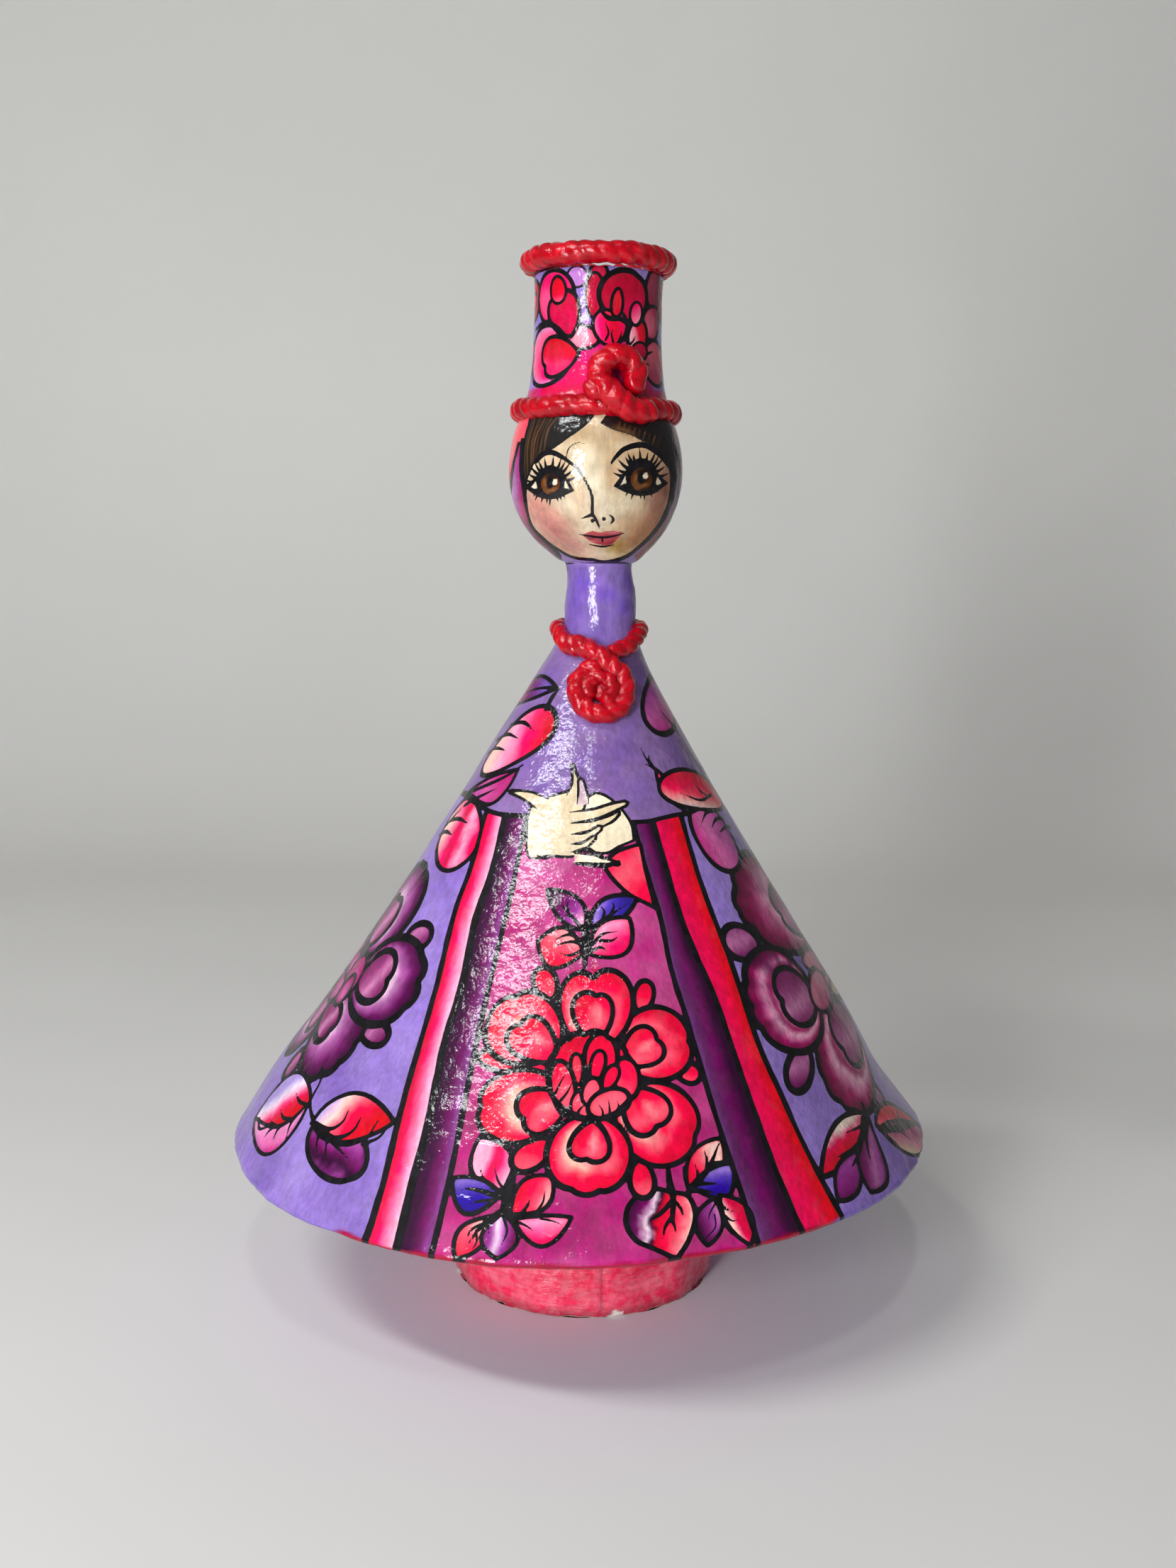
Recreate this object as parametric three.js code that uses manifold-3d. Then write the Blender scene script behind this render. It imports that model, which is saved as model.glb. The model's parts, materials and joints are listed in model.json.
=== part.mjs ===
// Papier-mache lady candle holder: a conical skirt, a neck, an egg-shaped head and a
// tubular hat that is open on top as a candle cup, on a low drum foot. Three pasted-on
// cords trim it: one on the hat's rim, one round the hat's base with a knotted loop,
// and one round the neck that ends in a coiled medallion.
// Millimetres, +Z up, origin on the table at the centre of the foot, face towards -Y.
import * as THREE from 'three';
import { mergeVertices } from 'three/addons/utils/BufferGeometryUtils.js';
import Module from 'manifold-3d';

// ---------------------------------------------------------------- driving dimensions
const GAP = 0.3;               // clearance between pieces that are pasted together

const FOOT_R = 48.0;           // drum foot, outer radius at the table
const FOOT_TOP_R = 47.2;
const FOOT_FACETS = 11;        // the card of the drum is bent in flats
const FOOT_FLAT = 0.9;         // depth of a flat's middle below the round

const UNDER_Z = 54.0;          // flat card that closes the skirt below
const FOOT_H = UNDER_Z - GAP;
const HEM_Z = 54.9;            // the skirt's lower edge
const HEM_R = 125.0;
const HEM_LIP = 1.1;           // half the thickness of the rolled hem
const SHOULDER_Z = 226.7;      // top of the cone
const SHOULDER_R = 16.3;
const SKIRT_SAG = 2.3;         // the cone's sides are very slightly hollow

const NECK_Z = 238.0;          // start of the neck
const NECK_R = 12.6;
const NECK_TOP_Z = 258.0;
const NECK_TOP_R = 11.5;

const HEAD_Z = 289.5;          // widest level of the head
const HEAD_R = 30.3;
const HEAD_LOW = 33.5;         // half height below that level
const HEAD_UP = 36.9;          // half height above it

const HAT_R = 21.9;            // paper tube of the hat
const HAT_FLARE = 2.0;         // pasted fillet at its base
const HAT_FLARE_Z = 316.0;
const HAT_FLARE_LEN = 9.0;
const HAT_TOP = 355.3;
const CUP_R = 18.6;            // candle cup
const CUP_FLOOR = 325.0;

const RIM_ROPE = { R: 23.0, z: 359.5, r: 3.75, lobes: 24 };
const BAND_ROPE = { R: 26.0, z: 309.9, r: 3.55, lobes: 24 };
const ROPE_BUMP = 0.22;        // height of the cord's lay above its mean surface

const LOOP = { phi: 15.2, z: 321.0, R: 6.0, r: 3.3 };     // knotted loop on the hat
const COLLAR = { R: 14.2, z: 234.6, r: 2.95 };            // cord round the neck
const MEDAL = { phi: 5.5, z: 215.6, R: 8.9, r: 3.1 };     // coiled medallion on the chest

const SEG = 42;                // segments round the body

// ---------------------------------------------------------------- the body's outline
const smooth = (t) => { t = Math.min(1, Math.max(0, t)); return t * t * (3 - 2 * t); };

function skirtRadius(z) {
  const t = (z - HEM_Z) / (SHOULDER_Z - HEM_Z);
  const hollow = Math.pow(Math.max(0, Math.sin(Math.PI * Math.min(1, Math.max(0, t)))), 0.7);
  return HEM_R + (SHOULDER_R - HEM_R) * t - SKIRT_SAG * hollow;
}
function neckRadius(z) {
  const t = (z - NECK_Z) / (NECK_TOP_Z - NECK_Z);
  return NECK_R + (NECK_TOP_R - NECK_R) * smooth(t);
}
function headRadius(z) {
  const b = z < HEAD_Z ? HEAD_LOW : HEAD_UP;
  const q = 1 - ((z - HEAD_Z) / b) ** 2;
  return q > 0 ? HEAD_R * Math.sqrt(q) : 0;
}
function hatRadius(z) {
  return HAT_R + HAT_FLARE * Math.exp(-(z - HAT_FLARE_Z) / HAT_FLARE_LEN)
    + 0.3 * smooth((z - 347) / 8);
}
function bodyRadius(z) {
  if (z <= SHOULDER_Z) return skirtRadius(z);
  if (z < NECK_Z) {            // shoulder: eases from the cone into the neck
    const L = NECK_Z - SHOULDER_Z, t = (z - SHOULDER_Z) / L;
    const h00 = 2 * t ** 3 - 3 * t ** 2 + 1, h10 = t ** 3 - 2 * t ** 2 + t, h01 = 1 - h00, h11 = t ** 3 - t ** 2;
    return h00 * SHOULDER_R + h10 * L * -0.5 + h01 * NECK_R + h11 * L * -0.02;
  }
  if (z < HEAD_Z) return Math.max(neckRadius(z), headRadius(z));
  return Math.max(headRadius(z), z > 308 ? hatRadius(z) : 0);
}

// The piece is hand-built: the hem is a little out of round, the skirt bulges on one
// side and the neck stands slightly off the axis.
const AXIS_OFF = [[180, 0], [206, 0.5], [219, 1.0], [230, 2.0], [240, 2.4], [250, 2.3], [258, 1.6], [266, 0.6], [276, 0]];
function axisOffset(z) {
  if (z <= AXIS_OFF[0][0]) return 0;
  for (let i = 1; i < AXIS_OFF.length; i++) {
    const [z0, a0] = AXIS_OFF[i - 1], [z1, a1] = AXIS_OFF[i];
    if (z <= z1) return a0 + (a1 - a0) * (z - z0) / (z1 - z0);
  }
  return 0;
}
function handBuilt(p) {        // p: THREE.Vector3 on or near the body, moved in place
  const th = Math.atan2(p.x, -p.y), r = Math.hypot(p.x, p.y);
  const w = Math.max(0, Math.min(1, (SHOULDER_Z - p.z) / (SHOULDER_Z - HEM_Z))) ** 2 * (r / HEM_R);
  const edge = (r / HEM_R) ** 4;
  let r2 = r - 2.5 * Math.sin(2 * th) * w * Math.min(1, edge * 3);
  r2 -= 2.4 * Math.sin(th) * Math.exp(-(((p.z - 78) / 20) ** 2)) * Math.min(1, edge * 2);
  const z2 = p.z + 1.2 * Math.sin(2 * th) * w * edge;
  const off = axisOffset(p.z);
  p.set(Math.sin(th) * r2 + off, -Math.cos(th) * r2, z2);
  return p;
}
// A point on the body's skin: angle phi in degrees from the front towards +X, height z,
// raised by h from the surface.
function onBody(phi, z, h) {
  const a = phi * Math.PI / 180, r = bodyRadius(z) + h;
  return new THREE.Vector3(Math.sin(a) * r + axisOffset(z), -Math.cos(a) * r, z);
}

// ---------------------------------------------------------------- mesh helpers
const wasm = await Module();
wasm.setup();

function closedMesh(geometry) {
  const g = geometry.clone();
  g.deleteAttribute('normal'); g.deleteAttribute('uv');
  const m = mergeVertices(g, 1e-4);
  const P = m.getAttribute('position'), I = m.index.array, keep = [];
  for (let i = 0; i < I.length; i += 3) {
    const [a, b, c] = [I[i], I[i + 1], I[i + 2]];
    if (a !== b && b !== c && c !== a) keep.push(a, b, c);
  }
  let vol = 0;
  const A = new THREE.Vector3(), B = new THREE.Vector3(), C = new THREE.Vector3();
  for (let i = 0; i < keep.length; i += 3) {
    A.fromBufferAttribute(P, keep[i]); B.fromBufferAttribute(P, keep[i + 1]); C.fromBufferAttribute(P, keep[i + 2]);
    vol += A.dot(B.clone().cross(C)) / 6;
  }
  if (vol < 0) for (let i = 0; i < keep.length; i += 3) [keep[i + 1], keep[i + 2]] = [keep[i + 2], keep[i + 1]];
  m.setIndex(keep);
  return m;
}
function solid(geometry) {
  const m = closedMesh(geometry);
  return new wasm.Manifold(new wasm.Mesh({
    numProp: 3,
    vertProperties: new Float32Array(m.getAttribute('position').array),
    triVerts: new Uint32Array(m.index.array),
  }));
}
function geometryOf(manifold) {
  const m = manifold.getMesh();
  const g = new THREE.BufferGeometry();
  g.setAttribute('position', new THREE.BufferAttribute(new Float32Array(m.vertProperties), 3));
  g.setIndex(new THREE.BufferAttribute(new Uint32Array(m.triVerts), 1));
  g.computeVertexNormals();
  return g;
}
function mapVertices(geometry, fn) {
  const P = geometry.getAttribute('position'), v = new THREE.Vector3();
  for (let i = 0; i < P.count; i++) {
    v.fromBufferAttribute(P, i);
    fn(v);
    P.setXYZ(i, v.x, v.y, v.z);
  }
  return geometry;
}
// Revolve a profile of [radius, height] pairs about Z, then give it its hand-built shape.
function revolve(profile, shape = handBuilt, seg = SEG) {
  const g = new THREE.LatheGeometry(profile.map(([r, z]) => new THREE.Vector2(r, z)), seg);
  g.rotateX(Math.PI / 2);
  const AXIS_EPS = 1e-6;
  return mapVertices(g, (v) => {
    if (Math.hypot(v.x, v.y) < AXIS_EPS) { v.x = axisOffset(v.z); v.y = 0; return; }
    shape(v);
  });
}
// A cord laid in a ring: a torus whose surface swells with the cord's lay.
function ropeRing({ R, z, r, lobes }, steps, sides) {
  const g = new THREE.TorusGeometry(R, r, sides, steps);
  return mapVertices(g, (v) => {
    const u = Math.atan2(v.y, v.x), rho = Math.hypot(v.x, v.y) - R, a = Math.atan2(v.z, rho);
    const rr = r + ROPE_BUMP * Math.cos(lobes * u + 2 * a);
    v.set((R + rr * Math.cos(a)) * Math.cos(u), (R + rr * Math.cos(a)) * Math.sin(u), z + rr * Math.sin(a));
  });
}
// A cord along an open path.
function ropePath(points, r, steps, sides = 8) {
  const section = new THREE.Shape();
  for (let i = 0; i < sides; i++) {
    const a = 2 * Math.PI * i / sides;
    if (i) section.lineTo(r * Math.cos(a), r * Math.sin(a)); else section.moveTo(r, 0);
  }
  section.closePath();
  return new THREE.ExtrudeGeometry(section, {
    steps, bevelEnabled: false, curveSegments: 1,
    extrudePath: new THREE.CatmullRomCurve3(points, false, 'centripetal'),
  });
}

// ---------------------------------------------------------------- body of the figure
function span(from, to, n, fn) {
  const out = [];
  for (let i = 0; i <= n; i++) { const z = from + (to - from) * i / n; out.push([fn(z), z]); }
  return out;
}
const chinZ = NECK_TOP_Z + 0.4;
const bodyProfile = [
  [0, UNDER_Z], [FOOT_R + 2, UNDER_Z], [HEM_R - 7, UNDER_Z], [HEM_R - 3.2, HEM_Z - 1.5 * HEM_LIP],
  [HEM_R - 0.7, HEM_Z - HEM_LIP],
  ...span(HEM_Z, SHOULDER_Z, 11, skirtRadius),
  ...span(SHOULDER_Z + 2.8, NECK_Z, 3, bodyRadius),
  ...span(NECK_Z + 6, NECK_TOP_Z, 2, neckRadius),
  ...[0.075, 0.16, 0.27, 0.4, 0.55, 0.72, 0.88].map((t) => {
    const z = HEAD_Z - HEAD_LOW * Math.cos(t * Math.PI / 2 * 0.98 + 0.24 * (1 - t));
    return [Math.max(headRadius(z), neckRadius(chinZ)), z];
  }).filter(([, z]) => z > chinZ),
  ...span(HEAD_Z, 305.5, 4, headRadius),
  [25.9, 308.4], [24.9, 311.3],
  ...span(314.5, HAT_TOP, 6, hatRadius),
  [CUP_R, HAT_TOP], [CUP_R, CUP_FLOOR], [0, CUP_FLOOR],
];
const bodyGeometry = closedMesh(revolve(bodyProfile));

// The same skin, raised by the gap: it trims the cords where they lie on the body.
function trimmer(z0, z1) {
  const rows = bodyProfile.filter(([r, z], i) => i > 4 && i < bodyProfile.length - 3 && z > z0 && z < z1)
    .map(([r, z]) => [r + GAP + 0.06, z]);
  const profile = [[0, z0], [bodyRadius(z0) + GAP + 0.06, z0], ...rows, [bodyRadius(z1) + GAP + 0.06, z1], [0, z1]];
  return solid(revolve(profile));
}

// ---------------------------------------------------------------- drum foot
function footShape(v) {
  const th = Math.atan2(v.x, -v.y), r = Math.hypot(v.x, v.y);
  const step = 2 * Math.PI / FOOT_FACETS, q = (((th + 0.33) % step) + step) % step / step - 0.5;
  const flat = FOOT_FLAT * Math.cos(Math.PI * q) ** 2 * (r / FOOT_R) ** 4;
  const r2 = r - flat;
  v.set(Math.sin(th) * r2, -Math.cos(th) * r2, v.z);
}
const footGeometry = closedMesh(revolve([
  [0, 0], [FOOT_R - 1.2, 0], [FOOT_R - 0.1, 1.0], [FOOT_R, 4], [FOOT_TOP_R + 0.3, 30], [FOOT_TOP_R, FOOT_H], [0, FOOT_H],
], footShape, 44));

// ---------------------------------------------------------------- cords
const rimRope = closedMesh(ropeRing(RIM_ROPE, 72, 8));

// Round the hat's base: a ring, a loop standing up against the hat, and the end that
// crosses over the loop's foot and runs on along the band.
const hatPoint = (phi, z, out = 0) => {
  const a = phi * Math.PI / 180, r = Math.max(hatRadius(Math.max(z, 316)), 23) + LOOP.r - 0.35 + out;
  return new THREE.Vector3(Math.sin(a) * r, -Math.cos(a) * r, z);
};
const loopPoints = [];
for (let i = 0; i <= 14; i++) {
  const a = (-112 - 316 * i / 14) * Math.PI / 180;
  const dphi = (LOOP.R * 1.12 * Math.cos(a)) / 26 * 180 / Math.PI;
  loopPoints.push(hatPoint(LOOP.phi + dphi, LOOP.z + LOOP.R * Math.sin(a), 0.15));
}
const crossPoints = [
  hatPoint(-7, 312.5, 0.2), hatPoint(3, 316.0, 1.6), hatPoint(11, 312.8, 2.5),
  hatPoint(20, 309.0, 2.3), hatPoint(31, 308.2, 1.2), hatPoint(43, 309.2, 0.2),
];
const bandRope = geometryOf(
  solid(ropeRing(BAND_ROPE, 72, 8))
    .add(solid(ropePath(loopPoints, LOOP.r, 24)))
    .add(solid(ropePath(crossPoints, LOOP.r, 14)))
    .subtract(trimmer(300.5, 336)),
);

// Round the neck: the cord comes from behind on both sides, crosses at the front and
// winds into the medallion.
const collarPoints = [];
for (let i = 0; i <= 20; i++) {
  const phi = 22 + (338 - 22 + 4) * i / 20;                 // right side, back, left side
  const front = Math.max(0, 1 - Math.abs(phi - 180) / 158);
  const z = COLLAR.z - (1 - smooth(front * 2.6)) * 6.0 + 1.2 * smooth(front);
  const a = phi * Math.PI / 180, r = Math.max(COLLAR.R, bodyRadius(z) + 1.55);
  collarPoints.push(new THREE.Vector3(Math.sin(a) * r + axisOffset(z), -Math.cos(a) * r, z));
}
const coil = (angle, radius, lift, r) => {
  const a = angle * Math.PI / 180, z = MEDAL.z + radius * 1.06 * Math.sin(a) * 0.86;
  const base = bodyRadius(z) + lift;
  return onBody(MEDAL.phi + radius * Math.cos(a) / (base) * 180 / Math.PI, z, lift);
};
const outerTurn = [];                                      // from the upper left, over the top, clockwise
outerTurn.push(onBody(-38, 231.8, 1.7), onBody(-8, 229.4, 2.6));
for (let i = 0; i <= 16; i++) outerTurn.push(coil(68 - 296 * i / 16, MEDAL.R, 2.5));
const innerTurn = [];
for (let i = 0; i <= 9; i++) innerTurn.push(coil(150 - 330 * i / 9, 3.6 + 0.5 * Math.cos(i), 1.9));
const padPoints = [coil(90, 5.2, 0.9), coil(0, 0.2, 1.0), coil(-90, 5.2, 0.9)];
const necklace = geometryOf(
  solid(ropePath(collarPoints, COLLAR.r, 36))
    .add(solid(ropePath(outerTurn, MEDAL.r, 30)))
    .add(solid(ropePath(innerTurn, 2.2, 14, 7)))
    .add(solid(ropePath(padPoints, 2.4, 5, 7)))
    .subtract(trimmer(195, 245)),
);

// ---------------------------------------------------------------- scene graph
const lilac = new THREE.MeshStandardMaterial({ color: 0x7e6bc0, roughness: 0.3, metalness: 0 });
const crimson = new THREE.MeshStandardMaterial({ color: 0xc8203a, roughness: 0.35, metalness: 0 });
const cordRed = new THREE.MeshStandardMaterial({ color: 0xc41425, roughness: 0.25, metalness: 0 });

const group = new THREE.Group();
for (const [name, geometry, material] of [
  ['figure_body', bodyGeometry, lilac],
  ['foot_drum', footGeometry, crimson],
  ['hat_rim_rope', rimRope, cordRed],
  ['hat_band_rope', bandRope, cordRed],
  ['necklace_rope', necklace, cordRed],
]) {
  const mesh = new THREE.Mesh(geometry, material);
  mesh.name = name;
  group.add(mesh);
}
export default group;
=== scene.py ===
"""The looks of the papier-mache lady: a painted and varnished cone with neck, head and tubular
hat, on a card drum foot, trimmed with pasted red cords. Everything is worked out in millimetres
and turned into metres when a mesh is made."""
import json
import math
import bpy
import numpy as np
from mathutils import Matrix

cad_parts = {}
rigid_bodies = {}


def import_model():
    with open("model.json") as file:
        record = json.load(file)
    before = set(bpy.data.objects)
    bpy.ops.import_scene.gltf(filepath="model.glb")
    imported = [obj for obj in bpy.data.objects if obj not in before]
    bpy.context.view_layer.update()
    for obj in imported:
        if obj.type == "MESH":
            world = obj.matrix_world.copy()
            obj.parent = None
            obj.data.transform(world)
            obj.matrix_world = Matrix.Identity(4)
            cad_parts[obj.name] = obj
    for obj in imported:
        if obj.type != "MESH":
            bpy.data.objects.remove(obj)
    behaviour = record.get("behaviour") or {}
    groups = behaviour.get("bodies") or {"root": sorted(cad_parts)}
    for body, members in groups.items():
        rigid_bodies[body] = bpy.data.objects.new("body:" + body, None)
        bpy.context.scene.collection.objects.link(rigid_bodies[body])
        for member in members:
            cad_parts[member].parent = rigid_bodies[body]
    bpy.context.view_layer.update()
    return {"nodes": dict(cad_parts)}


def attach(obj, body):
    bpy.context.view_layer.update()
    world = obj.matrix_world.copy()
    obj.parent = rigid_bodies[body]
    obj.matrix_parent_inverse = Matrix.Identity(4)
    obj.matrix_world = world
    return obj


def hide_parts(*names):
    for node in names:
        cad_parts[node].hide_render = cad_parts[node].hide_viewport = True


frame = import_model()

MM = 0.001

# ------------------------------------------------------------------ sizes, in millimetres
HEM_Z, HEM_R, HEM_LIP = 54.9, 125.0, 1.1
SH_Z, SH_R, SKIRT_SAG = 226.7, 16.3, 2.3
NECK_Z, NECK_R, NTOP_Z, NTOP_R = 238.0, 12.6, 258.0, 11.5
HEAD_Z, HEAD_R, HEAD_LOW, HEAD_UP = 289.5, 30.3, 33.5, 36.9
HAT_R, HAT_FLARE, HAT_FLARE_Z, HAT_FLARE_LEN, HAT_TOP = 21.9, 2.0, 316.0, 9.0, 355.3
CUP_R, CUP_FLOOR = 18.6, 325.0
FOOT_R, FOOT_TOP_R, FOOT_H, FOOT_FACETS, FOOT_FLAT = 48.0, 47.2, 53.7, 11, 0.9
UNDER_Z = 54.0
CONE_SIN = 0.5347            # sine of the skirt's half angle, for its flat development


def smooth(t):
    t = np.clip(t, 0.0, 1.0)
    return t * t * (3 - 2 * t)


def body_radius(z):
    z = np.asarray(z, float)
    t = (z - HEM_Z) / (SH_Z - HEM_Z)
    skirt = HEM_R + (SH_R - HEM_R) * t - SKIRT_SAG * np.maximum(0, np.sin(np.pi * np.clip(t, 0, 1))) ** 0.7
    length = NECK_Z - SH_Z
    u = np.clip((z - SH_Z) / length, 0, 1)
    shoulder = ((2 * u**3 - 3 * u**2 + 1) * SH_R + (u**3 - 2 * u**2 + u) * length * -0.5
                + (3 * u**2 - 2 * u**3) * NECK_R + (u**3 - u**2) * length * -0.02)
    neck = NECK_R + (NTOP_R - NECK_R) * smooth((z - NECK_Z) / (NTOP_Z - NECK_Z))
    half = np.where(z < HEAD_Z, HEAD_LOW, HEAD_UP)
    head = HEAD_R * np.sqrt(np.maximum(0, 1 - ((z - HEAD_Z) / half) ** 2))
    hat = HAT_R + HAT_FLARE * np.exp(-(z - HAT_FLARE_Z) / HAT_FLARE_LEN) + 0.3 * smooth((z - 347) / 8)
    hat = np.where(z > 308, hat, 0)
    upper = np.maximum(head, hat)
    return np.where(z <= SH_Z, skirt, np.where(z < NECK_Z, shoulder, np.where(z < HEAD_Z, np.maximum(neck, head), upper)))


AXIS_Z = np.array([180.0, 206, 219, 230, 240, 250, 258, 266, 276])
AXIS_X = np.array([0.0, 0.5, 1.0, 2.0, 2.4, 2.3, 1.6, 0.6, 0.0])


def axis_offset(z):
    return np.interp(z, AXIS_Z, AXIS_X, left=0, right=0)


def hand_built(th, r, z):
    """The hem a little out of round, the skirt bulging on one side, the neck slightly off the axis."""
    w = np.clip((SH_Z - z) / (SH_Z - HEM_Z), 0, 1) ** 2 * (r / HEM_R)
    edge = (r / HEM_R) ** 4
    r2 = r - 2.5 * np.sin(2 * th) * w * np.minimum(1, edge * 3)
    r2 = r2 - 2.4 * np.sin(th) * np.exp(-(((z - 78) / 20) ** 2)) * np.minimum(1, edge * 2)
    z2 = z + 1.2 * np.sin(2 * th) * w * edge
    return np.stack([np.sin(th) * r2 + axis_offset(z), -np.cos(th) * r2, z2], -1)


# ------------------------------------------------------------------ smooth noise
def _hash(i, j, seed):
    h = np.sin(i * 127.1 + j * 311.7 + seed * 74.7) * 43758.5453
    return h - np.floor(h)


def vnoise(x, y, scale, seed=0):
    x = np.asarray(x, float) / scale
    y = np.asarray(y, float) / scale
    i, j = np.floor(x), np.floor(y)
    u, v = smooth(x - i), smooth(y - j)
    a = _hash(i, j, seed) * (1 - u) + _hash(i + 1, j, seed) * u
    b = _hash(i, j + 1, seed) * (1 - u) + _hash(i + 1, j + 1, seed) * u
    return (a * (1 - v) + b * v) * 2 - 1


def fnoise(x, y, scale, seed=0):
    return 0.6 * vnoise(x, y, scale, seed) + 0.3 * vnoise(x, y, scale * 0.47, seed + 7) + 0.15 * vnoise(x, y, scale * 0.21, seed + 13)

# ------------------------------------------------------------------ brush work on a flat chart
def C(r, g, b):
    return np.array([r, g, b], float) / 255.0


def spline(points, closed=False, n=8):
    """Centripetal-free Catmull-Rom through a few named points."""
    P = np.asarray(points, float)
    m = len(P)
    out = []
    for i in range(m if closed else m - 1):
        if closed:
            a, b, c, d = P[(i - 1) % m], P[i], P[(i + 1) % m], P[(i + 2) % m]
        else:
            b, c = P[i], P[i + 1]
            a = P[i - 1] if i else 2 * b - c
            d = P[i + 2] if i + 2 < m else 2 * c - b
        for k in range(n):
            t = k / n
            out.append(0.5 * (2 * b + (c - a) * t + (2 * a - 5 * b + 4 * c - d) * t * t + (3 * b - a - 3 * c + d) * t**3))
    if not closed:
        out.append(P[-1])
    return np.array(out)


def blob(cx, cy, a, b, rot, taper=0.0, notches=(), n=64, sq=2.0):
    """A petal: centre, half width a, half length b, direction of its tip in degrees. taper > 0
    narrows the base. Each notch is (degrees from the tip, depth, spread in degrees)."""
    f = np.linspace(0, 2 * np.pi, n, endpoint=False)
    c, s = np.cos(f), np.sin(f)
    t = b * np.sign(c) * np.abs(c) ** (2 / sq)
    w = a * np.sign(s) * np.abs(s) ** (2 / sq) * (1 + taper * c)
    k = np.ones(n)
    for at, depth, spread in notches:
        d = (np.degrees(f) - at + 180) % 360 - 180
        k = k - depth * np.exp(-np.abs(d) / spread)
    t, w = t * k, w * k
    r = np.radians(rot)
    return np.stack([cx + t * np.cos(r) - w * np.sin(r), cy + t * np.sin(r) + w * np.cos(r)], -1)


def leaf_sides(base, tip, wl, wr, fat=0.45, bend=0.0, n=18):
    """The two edges of a leaf from base to tip, and its midrib. wl and wr are the half widths to
    the left and right of the way it points, fat the place of the widest point."""
    base, tip = np.array(base, float), np.array(tip, float)
    d = tip - base
    L = np.hypot(*d)
    d = d / L
    nrm = np.array([-d[1], d[0]])
    t = np.linspace(0, 1, n)
    prof = np.sin(np.pi * t ** (np.log(0.5) / np.log(fat))) ** 0.8
    mid = base + np.outer(t * L, d) + np.outer(bend * np.sin(np.pi * t), nrm)
    return mid + np.outer(wl * prof, nrm), mid - np.outer(wr * prof, nrm), mid


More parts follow.
